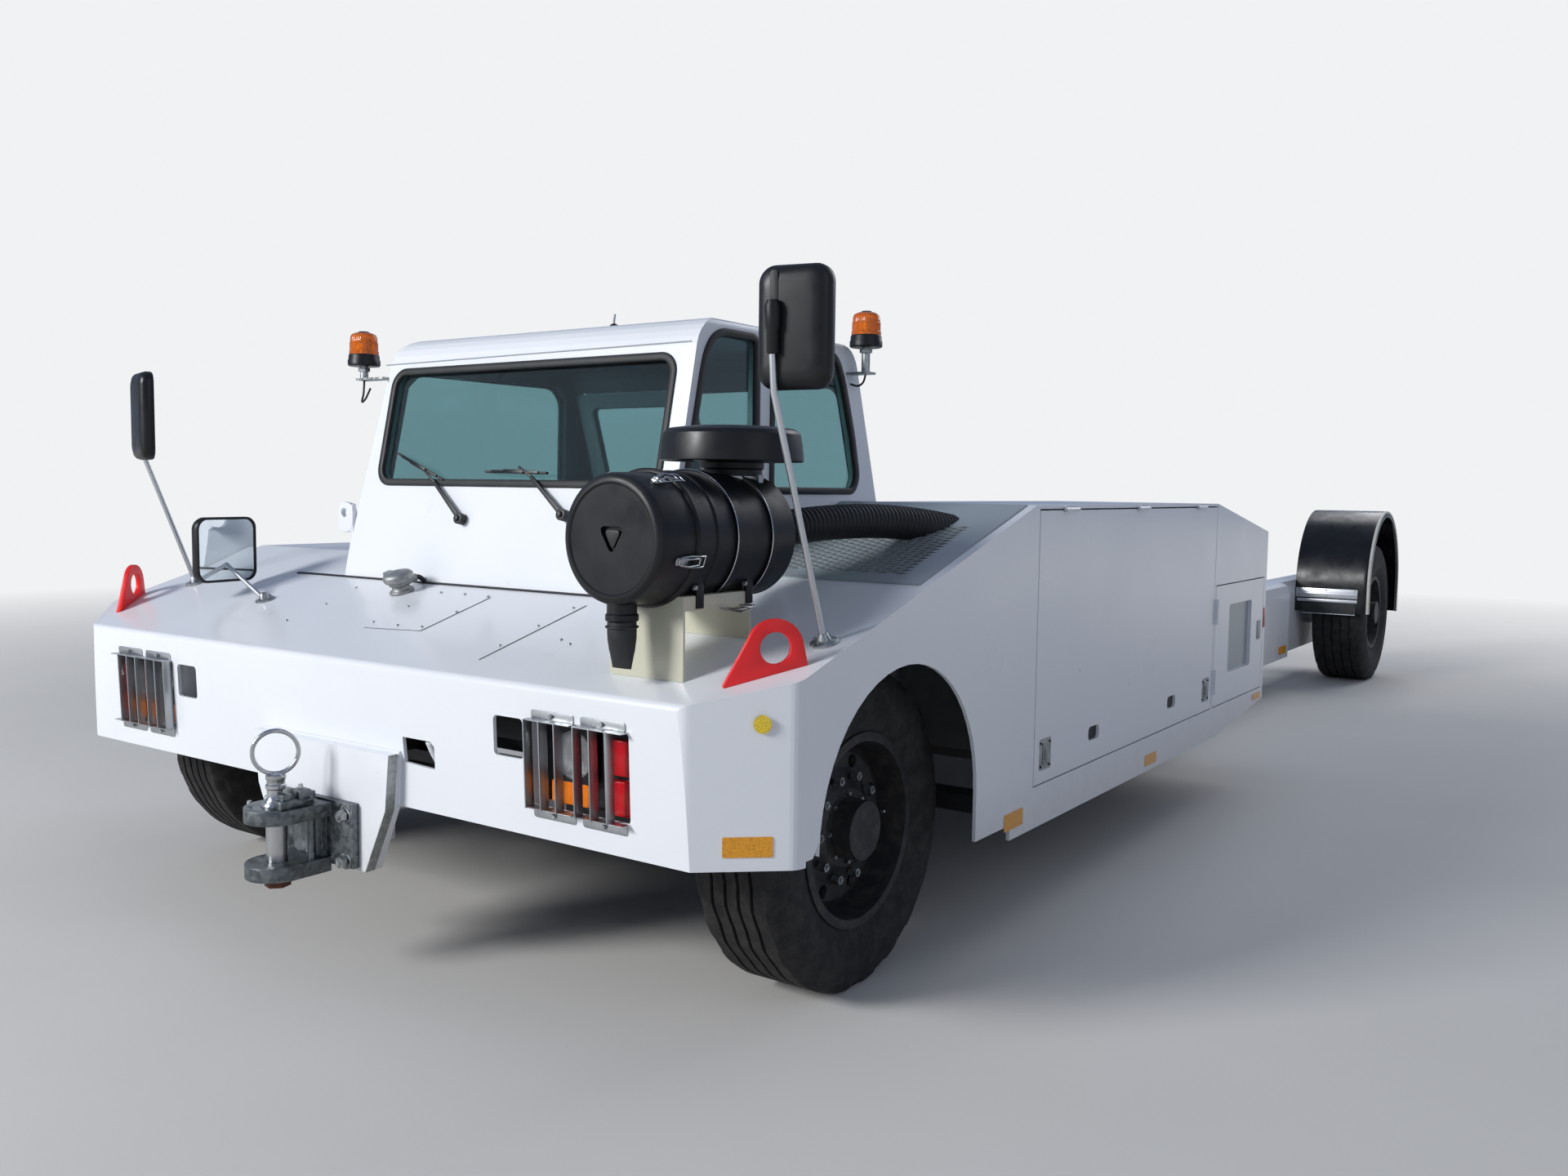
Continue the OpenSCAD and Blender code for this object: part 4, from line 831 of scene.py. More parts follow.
for node, thing in nodes.items():
    slot = next(s["material_slot"] for s in frame["record"]["subparts"] if s["node"] == node)
    thing.data.materials.clear()
    thing.data.materials.append(paint["cab_paint" if node == "cab_shell" else slot])

# Body planes, in millimetres from the front axle; the last value of an on_ function is the way off the plane

NOSE_X = 821
NOSE_Z = 975
NOSE_BASE = 548
NOSE_LEAN = 17
DECK_RISE = 0.31
HALF_W = 1673
FACE_HALF = 1441
CORNER_X = 619
ARM_HALF = 1030
DECK_UP = (0.296, 0, 0.955)
RIGHT_WALL_SLOPE = 0.1065
RIGHT_WALL_FOOT = 1300
# Which way the cab's leaning walls face
SCREEN_OUT = (0.978, 0, 0.208)
BACK_OUT = (-0.954, 0, 0.298)
RIGHT_OUT = (0, -1, 0.106)


def lean_x(z):
    return NOSE_X - NOSE_LEAN * (NOSE_Z - z) / (NOSE_Z - NOSE_BASE)


def deck_z(x):
    return NOSE_Z + (NOSE_X - x) * DECK_RISE


def on_front(y, z, out):
    return at(lean_x(z) + out, y, z)


def on_deck(x, y, out):
    return at(x + out * DECK_UP[0], y, deck_z(x) + out * DECK_UP[2])


def on_screen(y, z, out):
    """On the cab's leaning front wall."""
    x = CAB_FOOT[0] - (z - CAB_FOOT[1]) * CAB_SLOPE
    return at(x + out * SCREEN_OUT[0], y, z + out * SCREEN_OUT[2])


def on_back(y, z, out):
    """On the cab's leaning rear wall."""
    x = -CAB_BACK[0] - (CAB_BACK[1] - z) * BACK_SLOPE
    return at(x + out * BACK_OUT[0], y, z + out * BACK_OUT[2])


def on_cab_right(x, z, out):
    y = -CAB_RIGHT + (z - RIGHT_WALL_FOOT) * RIGHT_WALL_SLOPE
    return at(x, y + out * RIGHT_OUT[1], z + out * RIGHT_OUT[2])


def on_side(side, half=HALF_W):
    """On an upright side wall that stands half off the middle: 1 the left one, -1 the right one."""
    def place(x, z, out):
        return at(x, side * (half + out), z)
    return place


def across(x, side=1):
    """On an upright wall across the tractor, with the width counted from the middle to that side."""
    def place(y, z, out):
        return at(x + out, side * y, z)
    return place


def on_corner(side):
    """On a corner plate: first value runs back from the bumper's face."""
    run, rise = CORNER_X - NOSE_X, HALF_W - FACE_HALF
    length = math.hypot(run, rise)

    def place(along, z, out):
        share = along / length
        x = max(lean_x(z) + (CORNER_X - lean_x(NOSE_BASE)) * share, NOSE_X + run * share)
        return at(x + rise * out / length, side * (FACE_HALF + rise * share - run * out / length), z)
    return place


# Wheels

BEAD_R = 286
FRONT_WHEEL = {"x": 0, "y": 1350, "z": 490, "radius": 492, "width": 304,
               "grooves": (-0.23, -0.075, 0.075, 0.23)}
REAR_WHEEL = {"x": -8240, "y": 1250, "z": 558, "radius": 560, "width": 410,
              "grooves": (-0.24, -0.08, 0.08, 0.24)}
GROOVE_DEEP = 11
GROOVE_HALF = 6
SHOULDER_CUT = 6
ZIGZAG = 4
TREAD_STEPS = 168
NUTS = 10
NUT_CIRCLE = 160
NUT_FACE = 66
STUD_FACE = 84
HUB_BOLTS = 8
HUB_CIRCLE = 107
HUB_FACE = 83


def tyre_section(wheel, step):
    """One section of the tyre as (radius, across); grooves and shoulder lugs shift from step to step."""
    r, w = wheel["radius"], wheel["width"]
    h = r - BEAD_R
    notch = SHOULDER_CUT if step // 4 % 2 else 0
    side = [(BEAD_R + 0.3, 0.4 * w), (BEAD_R + 14, 0.405 * w), (BEAD_R + 0.14 * h, 0.43 * w),
            (BEAD_R + 0.28 * h, 0.474 * w), (BEAD_R + 0.4 * h, 0.494 * w), (BEAD_R + 0.44 * h, 0.492 * w),
            (BEAD_R + 0.5 * h, 0.5 * w), (BEAD_R + 0.66 * h, 0.49 * w), (BEAD_R + 0.7 * h, 0.48 * w),
            (BEAD_R + 0.82 * h, 0.472 * w), (r - 22, 0.45 * w - notch), (r - 8, 0.425 * w - notch),
            (r, 0.39 * w - notch)]
    sway = ZIGZAG * (abs(step % 8 - 4) - 2) / 2
    tread = []
    for share in wheel["grooves"][::-1]:
        y = share * w + sway
        tread += [(r, y + GROOVE_HALF), (r - GROOVE_DEEP, y + GROOVE_HALF - 2),
                  (r - GROOVE_DEEP, y - GROOVE_HALF + 2), (r, y - GROOVE_HALF)]
    return side + tread + [(a, -b) for a, b in side[::-1]]


def make_wheel(where, wheel, side):
    """Tyre, wheel nuts and hub bolts of one wheel."""
    body = f"wheel_{where}"
    out = (0, side, 0)
    hub = turned((wheel["x"], side * wheel["y"], wheel["z"]), out)
    rings = []
    for step, a in enumerate(circle(TREAD_STEPS)):
        rings.append([hub(r * math.cos(a), r * math.sin(a), t) for r, t in tyre_section(wheel, step)])
    shell = Shape().loft(rings, loop=True)
    piece(f"tyre_shell_{where}", shell, "tyre", body, smooth=28, replaces=[f"tyre_{where}"])
    nuts, ends = hoop(hub, NUT_CIRCLE, NUT_FACE, NUTS), hoop(hub, NUT_CIRCLE, STUD_FACE, NUTS)
    studs(f"wheel_nuts_{where}", nuts, out, 16, 26, "galvanised", sides=6, crown=0.9, body=body)
    studs(f"wheel_studs_{where}", ends, out, 8, 14, "galvanised", body=body)
    caps = hoop(hub, HUB_CIRCLE, HUB_FACE, HUB_BOLTS)
    studs(f"hub_bolts_{where}", caps, out, 8, 8, "galvanised", sides=6, body=body)
    valve = [hub(212, 0, 40), hub(214, 4, 70), hub(206, 10, 92)]
    rods(f"tyre_valve_{where}", [valve], 4, "galvanised", body=body)


# Lamps

LAMP_Y = 900
LAMP_W = 364
GUARD_W = 176
GUARD_OUT = 28
BLADES = 3
BLADE_STEP = 58
SHELF_TOP = 884
SHELF_LOW = 640
SHELF_THICK = 3
HOUSING_TOP = 878
HOUSING_LOW = 646
LENS_BACK = -80
LENS_FACE = -36
HEADLAMP = (1030, 792)
BOWL_R = 66
BOWL = [(BOWL_R, -2), (60, -14), (48, -24), (30, -31), (14, -34), (0.5, -34), (0.5, -36), (32, -34), (50, -27),
        (63, -15), (BOWL_R + 2, -4)]
LENS = [(0.2, 4), (30, 3), (52, 0), (BOWL_R, -4), (BOWL_R, -7), (52, -3), (30, 0), (0.2, 1)]
GUARD_STARTS = (LAMP_Y + 1, LAMP_Y + 187)
GUARD_TABS = ((SHELF_TOP, 912), (608, SHELF_LOW))
TAB_BOLTS = (899, 622)
TURN_LENS = (950, 652, 1090, 716)
TAIL_LENSES = ((1160, 757, 1262, 853), (1160, 648, 1262, 743))


def make_lamps():
    guards, housing, bowls, clear, amber, red = (Shape() for _ in range(6))
    bolts, screws = [], []
    for side in (1, -1):
        inner = across(NOSE_X, side)

        def front(y, z, out):
            return on_front(side * y, z, out)
        for y0 in GUARD_STARTS:
            low, top = SHELF_LOW - SHELF_THICK, SHELF_TOP + SHELF_THICK
            for k in range(BLADES):
                y = y0 + 4 + BLADE_STEP * k
                blade = fillet([(y, low), (y, top), (y + 4, top), (y + 4, low)], 1)
                guards.prism(blade, 1, GUARD_OUT + 6, front)
            for z in (SHELF_TOP, low):
                guards.box((y0, z, 0.4), (y0 + GUARD_W, z + SHELF_THICK, GUARD_OUT + 2), front)
            for z0, z1 in GUARD_TABS:
                guards.prism(rounded(y0 + 8, z0, y0 + GUARD_W - 8, z1, 9), 0.4, 3.4, front)
            bolts += [front(y0 + GUARD_W / 2, z, 6) for z in TAB_BOLTS]
        corners = (LAMP_Y - 4, HOUSING_LOW, LENS_BACK), (LAMP_Y + LAMP_W + 4, HOUSING_TOP, LENS_BACK + 6)
        housing.box(*corners, inner)
        housing.prism(rounded(LAMP_Y - 4, HOUSING_LOW, LAMP_Y + 236, HOUSING_TOP, 10), LENS_BACK, -66, inner)
        bezel = rounded(LAMP_Y + 52, 710, LAMP_Y + 212, 876, 30, 8)
        housing.washer(bezel, disc(*HEADLAMP, BOWL_R, len(bezel)), -70, -40, inner)
        face = turned((NOSE_X + LENS_FACE, side * HEADLAMP[0], HEADLAMP[1]), (1, 0, 0))
        bowls.ring(BOWL, face, 48)
        clear.lathe(LENS, face)
        amber.prism(rounded(*TURN_LENS, 8), LENS_BACK + 8, LENS_FACE - 2, inner)
        for y0, z0, y1, z1 in TAIL_LENSES:
            red.prism(rounded(y0, z0, y1, z1, 10), LENS_BACK + 8, LENS_FACE, inner)
            screws += [inner(y, (z0 + z1) / 2, LENS_FACE + 1) for y in (y0 + 10, y1 - 10)]
        housing.prism(rounded(1150, HOUSING_LOW, 1268, HOUSING_TOP, 10), LENS_BACK, -60, inner)
    piece("lamp_guards", guards, "lamp_guard", bevel_mm=0.8, replaces=["lamps"])
    piece("lamp_housings", housing, "black_plastic", bevel_mm=1.5)
    piece("headlamp_bowls", bowls, "pin_steel")
    piece("headlamp_lenses", clear, "clear_lens")
    piece("turn_lenses", amber, "amber_lens", bevel_mm=4)
    piece("tail_lenses", red, "red_lens", bevel_mm=4)
    studs("guard_bolts", bolts, (1, 0, 0), 8, 6, "galvanised", sides=6)
    studs("lens_screws", screws, (1, 0, 0), 4, 3, "galvanised")


# Air cleaner

FILTER = (540, 1220, 1390)
FILTER_R = 178
FILTER_BANDS = (-200, -40)
BAND_W = 36
NECK_X = 325
VALVE_X = 795
STRAP_X = (400, 620)
STRAP_Y = (1085, 1346)
CLIP_ANGLES = (121, 58, -17, -90, -140, 175)
OUTER_WIRE = ((14, 138, 15), (15, 156, 18), (15, 196, 13), (11, 224, 9))
INNER_WIRE = ((9, 160, 17), (10, 206, 22), (6, 238, 12))
DUST_VALVE = ((1180, 38, 38), (1150, 39, 39), (1128, 40, 36), (1100, 40, 26), (1072, 37, 12), (1050, 33, 4))


def make_drum():
    drum = turned(FILTER, (1, 0, 0))
    body = [(0.5, -310), (100, -310), (152, -306), (169, -298), (FILTER_R, -284), (FILTER_R, 144), (184, 147),
            (187, 150), (187, 161), (183, 164), (177, 166), (175, 190), (174, 280), (170, 291), (162, 298),
            (154, 301), (148, 301), (143, 297), (0.5, 297)]
    shell = piece("air_cleaner_shell", Shape().lathe(body, drum, 96), "black_plastic", smooth=24,
                  replaces=["air_cleaner"])
    carve(shell, Shape().prism(fillet([(-46, 34), (46, 34), (0, -44)], 26, 6), 284, 320, drum))
    lobe = fillet([(-30, 24), (30, 24), (0, -30)], 18, 6)
    piece("cover_knob", Shape().prism(lobe, 283, 294, drum), "hose_rubber", bevel_mm=2)
    bands = Shape()
    for t in FILTER_BANDS:
        end = t + BAND_W
        bands.ring([(FILTER_R - 1, t), (FILTER_R + 5, t), (FILTER_R + 8, t + 3), (FILTER_R + 8, end - 3),
                    (FILTER_R + 5, end), (FILTER_R - 1, end)], drum, 96)
    bands.ring([(FILTER_R - 1, 60), (FILTER_R + 4, 63), (FILTER_R + 4, 76), (FILTER_R - 1, 79)], drum, 96)
    piece("air_cleaner_bands", bands, "black_plastic")
    edges = [hoop(drum, FILTER_R + 8.5, t + BAND_W + 1, 96) for t in FILTER_BANDS]
    rods("band_edges", edges, 1.6, "pin_steel", sides=6, closed=True)


def make_clips():
    """Wire clips round the cover; one half of each wire is listed, and the other mirrors it."""
    wires, latches = [], Shape()
    seat = FILTER_R - 4
    for angle in CLIP_ANGLES:
        out = Vector((0, math.cos(math.radians(angle)), math.sin(math.radians(angle))))
        clip = turned((FILTER[0], FILTER[1] + seat * out.y, FILTER[2] + seat * out.z), out, (1, 0, 0))
        for half in (OUTER_WIRE, INNER_WIRE):
            wires.append([clip(-u, v, h) for u, v, h in half] + [clip(u, v, h) for u, v, h in half[::-1]])
        latches.prism(rounded(-10, 196, 10, 244, 5), 1, 9, clip)
    rods("clip_wires", wires, 2.4, "pin_steel", sides=8, closed=True)
    piece("clip_latches", latches, "pin_steel", bevel_mm=1)


def make_neck_and_valve():
    neck = turned((NECK_X, FILTER[1], FILTER[2]), (0, 0, 1))
    stack = [(0.5, 60), (94, 60), (94, 110), (90, 130), (88, 150), (88, 188), (93, 193), (93, 208), (110, 214),
             (150, 226), (190, 228), (200, 214), (205, 212), (208, 215), (208, 222), (204, 262), (199, 290),
             (192, 300), (180, 306), (130, 312), (0.5, 314)]
    piece("rain_cap", Shape().lathe(stack, neck, 96), "black_plastic", smooth=24)
    clamp = Shape().ring([(88, 156), (92, 156), (92, 170), (88, 170)], neck)
    clamp.box((-10, 88, 152), (10, 104, 174), neck)
    piece("neck_clamp", clamp, "galvanised")
    valve = turned((VALVE_X, FILTER[1], 0), (0, 0, 1))
    tube = [(0.5, 1240), (40, 1240), (40, 1196), (44, 1192), (44, 1178), (40, 1174), (0.5, 1174)]
    piece("dust_valve_tube", Shape().lathe(tube, valve), "black_plastic")
    beak = [[valve(u, v, z) for u, v in disc(0, 0, deep, 40, wide)] for z, wide, deep in DUST_VALVE]
    piece("dust_valve", Shape().loft(beak), "hose_rubber")
    rods("valve_clamp", [hoop(valve, 41.5, 1160, 40)], 3, "hose_rubber", closed=True)


def make_straps():
    straps = Shape()
    for x in STRAP_X:
        for y in STRAP_Y:
            straps.box((x, y, 1205), (x + 30, y + 9, 1300))
    piece("filter_straps", straps, "black_plastic", bevel_mm=1.5)
    bolts = [at(x + 40, 1353, 1262) for x in STRAP_X]
    studs("bracket_bolts", bolts, (0, 1, 0), 8, 8, "galvanised", sides=6)


# Intake hose: its ends at the drum and at the panel, and how far its middle stands above the straight line

HOSE_START = (198, 1220, 1390)
HOSE_END = (-640, 1430, 1390)
HOSE_RISE = 35
HOSE_STEPS = 40


def make_hose():
    start, end = Vector(HOSE_START), Vector(HOSE_END)
    span = (end - start).length
    radius = (span * span / 4 + HOSE_RISE * HOSE_RISE) / (2 * HOSE_RISE)
    reach = math.asin(span / 2 / radius)
    middle, run = (start + end) / 2, (end - start).normalized()
    path = []
    for i in range(HOSE_STEPS + 1):
        a = -reach + 2 * reach * i / HOSE_STEPS
        lift = Vector((0, 0, HOSE_RISE - radius + radius * math.cos(a)))
        path.append(at(*(middle + run * radius * math.sin(a) + lift)))
    sizes = {"Radius": 0.0555, "Rib": 0.0042, "Pitch": 0.018, "Sides": 40}
    grow("intake_hose_ribbed", path, [list(range(len(path)))], "hose", sizes, "hose_rubber",
         replaces=["intake_hose"])
    cuff = Shape().ring([(54, -34), (58, -34), (58, -16), (54, -16)], turned(HOSE_START, start - end), 48)
    piece("hose_clamp", cuff, "galvanised")


# Mirrors

LEFT_FOOT = (390, 1590, 40)
RIGHT_FOOT = (384, -1472, 40)
SMALL_FOOT = (473, -859, 35)


def head(name, centre, turn, size, glass_side):
    """Housing with a crowned back and a sunk pane: turn in degrees, size as (width, height)."""
    angle = math.radians(turn)
    place = turned(centre, (math.cos(angle), math.sin(angle), 0))
    w, h = size

    def edge(inset, corner, out):
        outline = rounded(inset - w / 2, inset - h / 2, w / 2 - inset, h / 2 - inset, corner, 8)
        return [place(u, v, -glass_side * out) for u, v in outline]
    rings = [edge(inset, 40, out) for inset, out in ((10, -21), (9, -28), (3, -28))]
    for inset, out in ((0, -24), (0, -6), (5, 8), (14, 17), (28, 22), (46, 24)):
        rings.append(edge(inset, max(45 - inset * 0.4, 12), out))
    piece(f"{name}_housing", Shape().loft(rings), "black_plastic", smooth=40)
    piece(f"{name}_glass", Shape().loft([edge(10, 38, out) for out in (-20.5, -23)]), "mirror")
    return place


def make_mirrors():
    poles = [[on_deck(*LEFT_FOOT[:2], 2), at(646, 1594, 1768), at(656, 1593, 1885)],
             [on_deck(*RIGHT_FOOT[:2], 2), at(585, -1505, 1660)]]
    rods("mirror_poles", poles, 9, "bare_aluminium", sides=20, replaces=["mirrors"])
    small = [on_deck(*SMALL_FOOT[:2], 2), at(473, -1118, 1212)]
    rods("small_mirror_pole", [small], 8, "bare_aluminium", sides=20)
    left = head("mirror_left", (611, 1630, 1932), 12, (200, 312), -1)
    head("mirror_right", (590, -1480, 1776), -18, (214, 340), -1)
    head("mirror_small", (473, -1130, 1264), 98, (274, 250), 1)
    boot = [(0.5, 0), (14, 0), (17, 4), (17, 60), (20, 66), (21, 118), (15, 134), (0.5, 136)]
    sleeve = turned((650, 1593, 1862), (0.04, 0, 1))
    piece("mirror_boot", Shape().lathe(boot, sleeve), "black_plastic")
    slot = Shape().prism(rounded(-58, 40, -36, 140, 10), 14, 25.5, left)
    piece("mirror_slot", slot, "seal_rubber", bevel_mm=1)
    feet, bolts = Shape(), []
    for x, y, r in (LEFT_FOOT, RIGHT_FOOT, SMALL_FOOT):
        foot = turned((x, y, deck_z(x)), DECK_UP, (0, 1, 0))
        profile = [(0.5, 0.3), (r, 0.3), (r, 5), (r - 4, 8), (20, 10), (14, 26), (11, 30), (0.5, 30)]
        feet.lathe(profile, foot, 32)
        bolts += hoop(foot, r * 0.7, 10, 4)
    piece("mirror_feet", feet, "galvanised")
    studs("mirror_bolts", bolts, DECK_UP, 5, 5, "galvanised", sides=6)


# Beacons: each one's foot, and the two corners of its bracket

BEACONS = [((-900, 920, 2060), (-930, 850.4, 1960), (-870, 950, 1968)),
           ((40, -828, 1986), (10, -845, 1930), (70, -678, 1938))]
BEACON_BASE = [(0.5, 0), (58, 0), (62, 4), (62, 22), (59, 28), (59, 40), (56, 46), (0.5, 46)]
BEACON_DOME = [(0.5, 44), (56, 44), (56, 58), (54, 60), (54, 92), (52, 94), (51, 114), (46, 124), (32, 130),
               (0.5, 132)]
BEACON_TOP = [(0.5, 122), (22, 126), (24, 131), (18, 136), (0.5, 137)]
BEACON_ROTOR = [(0.5, 46), (20, 46), (20, 104), (0.5, 108)]
BEACON_CABLES = [[(40, -828, 1930), (46, -826, 1880), (60, -818, 1846), (52, -806, 1858), (40, -790, 1900)],
                 [(-900, 920, 1958), (-896, 912, 1930), (-900, 886, 1918), (-902, 853, 1926)]]


def make_beacons():
    bases, domes, brackets, inner = Shape(), Shape(), Shape(), Shape()
    for centre, low, high in BEACONS:
        place = turned(centre, (0, 0, 1))
        foot = low[2] - centre[2]
        bases.lathe(BEACON_BASE, place)
        domes.lathe(BEACON_DOME, place)
        bases.lathe(BEACON_TOP, place, 32)
        inner.lathe(BEACON_ROTOR, place, 24)
        brackets.prism(rounded(low[0], low[1], high[0], high[1], 6), low[2], high[2])
        brackets.lathe([(0.5, foot), (16, foot), (16, 2), (0.5, 2)], place, 24)
        brackets.lathe([(0.5, -20), (24, -20), (24, -6), (0.5, -6)], place, 6)
    piece("beacon_bases", bases, "black_plastic", replaces=["beacons"])
    piece("beacon_domes", domes, "beacon_amber")
    piece("beacon_rotors", inner, "pin_steel")
    piece("beacon_brackets", brackets, "galvanised")
    cables = [bend([at(*point) for point in route]) for route in BEACON_CABLES]
    rods("beacon_cables", cables, 4, "hose_rubber")


# Cab trim

LEFT_FRONT = [(82, 1540), (-298, 1540), (-298, 2036), (-100, 2036), (-52, 2012), (-20, 1965), (-2, 1906)]
LEFT_REAR = [(-395, 1522), (-395, 2036), (-745, 2036), (-815, 2000), (-862, 1900), (-922, 1730), (-962, 1575),
             (-935, 1522)]
RIGHT_SIDE = [(40, 1420), (-940, 1420), (-900, 1900), (-840, 1960), (-90, 1960), (-30, 1900)]
# How far a seal reaches inwards, outwards, into the opening and off the wall
SEAL = (9, 17, -10, 6)


def make_seals():
    seals, on_cab_left = Shape(), on_side(1, CAB_LEFT)
    for outline, wall in ((rounded(-628, 1535, 765, 1950, 55, 8), on_screen),
                          (fillet(LEFT_FRONT, 30), on_cab_left),
                          (fillet(LEFT_REAR, 30), on_cab_left),
                          (fillet(RIGHT_SIDE, 40), on_cab_right),
                          (rounded(20, 1330, 760, 1930, 50, 8), on_back)):
        seals.strip(outline, *SEAL, wall)
    piece("window_seals", seals, "seal_rubber", smooth=50)
    door = Shape().strip(rounded(-550, 1330, -100, 1880, 40, 8), 9, 15, -10, 5, on_back)
    piece("door_window_seal", door, "seal_rubber", "cab_door", smooth=50)
    rim = Shape().strip(rounded(-616, 702, -34, 1945, 40, 8), 2, 3, -22, -3, on_back)
    piece("door_frame_seal", rim, "seal_rubber", smooth=50)
    latch = Shape().prism(rounded(-112, 1180, -72, 1290, 8), 0, 5, on_back)
    piece("cab_door_latch", latch, "black_plastic", "cab_door", bevel_mm=1)
    grip = [on_back(-92, z, out) for z, out in ((1200, 4), (1200, 32), (1270, 32), (1270, 4))]
    rods("cab_door_handle", [grip], 6, "pin_steel", body="cab_door")


WIPERS = [
    {"pivot": (-122, 1399), "elbow": (-288, 1528), "tip": (-380, 1588),
     "blade": [(-534, 1638), (-255, 1540)]},
    {"pivot": (384, 1424), "elbow": (208, 1552), "tip": (140, 1586),
     "blade": [(-35, 1571), (272, 1567)]},
]


def bar(shape, start, end, half, low, high, place, half_end=None):
    """A flat bar between two points of a plane; half its width, which may change to half_end."""
    a, b = Vector(start), Vector(end)
    side = (b - a).normalized().orthogonal()
    other = half_end or half
    outline = [a - side * half, b - side * other, b + side * other, a + side * half]
    return shape.prism(outline, low, high, place)


def make_wipers():
    arms, blades, rubber = Shape(), Shape(), Shape()
    for wiper in WIPERS:
        bar(arms, wiper["pivot"], wiper["elbow"], 9, 14, 24, on_screen, 6)
        bar(arms, wiper["elbow"], wiper["tip"], 5, 16, 22, on_screen, 4)
        arms.prism(disc(*wiper["pivot"], 20, 20), 0.3, 30, on_screen)
        arms.prism(disc(*wiper["pivot"], 11, 6), 29, 40, on_screen)
        first, last = (Vector(p) for p in wiper["blade"])
        bar(blades, first.lerp(last, 0.12), first.lerp(last, 0.88), 5, 12, 18, on_screen)
        bar(blades, first.lerp(last, 0.34), first.lerp(last, 0.66), 7, 17, 24, on_screen)
        bar(rubber, first, last, 3.5, 1, 13, on_screen)
    piece("wiper_arms", arms, "dark_frame", bevel_mm=1.5)
    piece("wiper_blades", blades, "black_plastic", bevel_mm=1)
    piece("wiper_rubbers", rubber, "seal_rubber")


def make_cab_trim():
    """Lifting eye, the lip over the windscreen and the roof aerial."""
    lug = [(max(y, -900) if y < -780 else y + 14, z if z > 1400 else z - 30)
           for y, z in disc(-790, 1408, 40, 36, 44)]
    eye = across(150)
    plate = Shape().washer(lug, disc(-790, 1410, 17, 36), 0, 22, eye)
    plate.prism([(-776, 1400), (-740, 1448), (-736, 1320), (-752, 1330)], 2, 20, eye)
    piece("cab_lifting_eye", plate, "white_paint", bevel_mm=3)
    lip = Shape().prism([(-700, 1984), (826, 1996), (826, 1999), (-700, 1987)], 0.3, 4, on_screen)
    piece("roof_lip", lip, "grey_panel")
    rods("roof_aerial", [[at(-100, 372, 2086), at(-100, 372, 2106), at(-102, 374, 2128)]], 4, "grey_panel")
    foot = turned((-100, 372, 2084.5), (0, 0, 1))
    button = Shape().lathe([(0.5, 0), (16, 0), (14, 5), (8, 10), (0.5, 11)], foot)
    piece("aerial_foot", button, "black_plastic")


# Deck

DECK_SCREWS = [(456, -514), (611, -522), (413, -112), (553, -120), (557, 12), (550, 126), (420, 144), (281, 144),
               (277, 21), (280, -99), (615, 563), (461, 569), (311, 575), (536, 742), (556, 798), (300, -549)]
VALVE_SPOT = (300, -285)
DISC_R = 24


def make_deck_trim():
    # The dark strip across the deck at the cab's foot is a seal and also painted shadow along the cab's base;
    # the thin bars are dark seam lines
    seam_and_shadow = Shape().box((203, -1037, 0.3), (214, 862, 4), on_deck)
    bar(seam_and_shadow, (284, 160), (577, 152), 1.8, 0.3, 1.4, on_deck)
    bar(seam_and_shadow, (285, 607), (714, 582), 1.8, 0.3, 1.4, on_deck)
    bar(seam_and_shadow, (577, 152), (598, -108), 1.0, 0.3, 1.0, on_deck)
    piece("deck_seams_and_shadow", seam_and_shadow, "seal_rubber")
    screws = [on_deck(x, y, 1.6) for x, y in DECK_SCREWS]
    studs("deck_screws", screws, DECK_UP, 6, 3, "galvanised", crown=0.6)
    casting = Shape()
    place = turned((*VALVE_SPOT, deck_z(VALVE_SPOT[0])), DECK_UP, (0, 1, 0))
    neck = [(0.5, 0.3), (44, 0.3), (44, 8), (34, 14), (30, 26), (40, 32), (40, 42), (30, 48), (0.5, 50)]
    knob = [(0.5, 44), (50, 44), (54, 50), (54, 66), (46, 74), (22, 80), (0.5, 82)]
    casting.lathe(neck, place, 32)
    casting.lathe(knob, place, 32)
    casting.box((-16, -62, 52), (16, 20, 76), place)
    casting.box((-70, -14, 20), (20, 14, 46), place)
    piece("deck_valve", casting, "cast_alloy", bevel_mm=2)
    pipe = bend([place(-60, 0, 32), place(-84, 0, 28), place(-96, 6, 14), place(-98, 8, 1)])
    rods("deck_valve_hose", [pipe], 9, "hose_rubber", sides=16)
    for side, name in ((1, "left"), (-1, "right")):
        blank = Shape().prism(disc(214, 930, DISC_R, 40), 0.3, 1.2, on_corner(side))
        piece(f"blank_disc_{name}", blank, "yellow_film")


# Reflectors and side trim

SIDE_TAPES = [(-753, 382, -605, 440), (-2128, 368, -1992, 414), (-3790, 436, -3640, 470)]
ARM_TAPE = (-7020, 308, -6800, 368)
CORNER_TAPE = (108, 585, 238, 638)
RED_TAPE = (-3826, 815, -3798, 920)


def make_reflectors():
    tapes, reds = Shape(), Shape()
    for side in (1, -1):
        for tape in SIDE_TAPES:
            tapes.prism(rounded(*tape, 4), 0.3, 2.2, on_side(side))
        tapes.prism(rounded(*CORNER_TAPE, 4), -4, 2.2, on_corner(side))
        tapes.prism(rounded(*ARM_TAPE, 4), 0.3, 2.2, on_side(side, ARM_HALF))
        reds.prism(rounded(*RED_TAPE, 3), 0.3, 3, on_side(side))
    piece("amber_reflectors", tapes, "amber_tape")
    piece("red_reflectors", reds, "red_lens", bevel_mm=1)


LATCH_X = (-934, -2806)
LATCH_Z = 597
GRIP_X = (-1394, -2311)
DOOR_HALF = HALF_W - 5


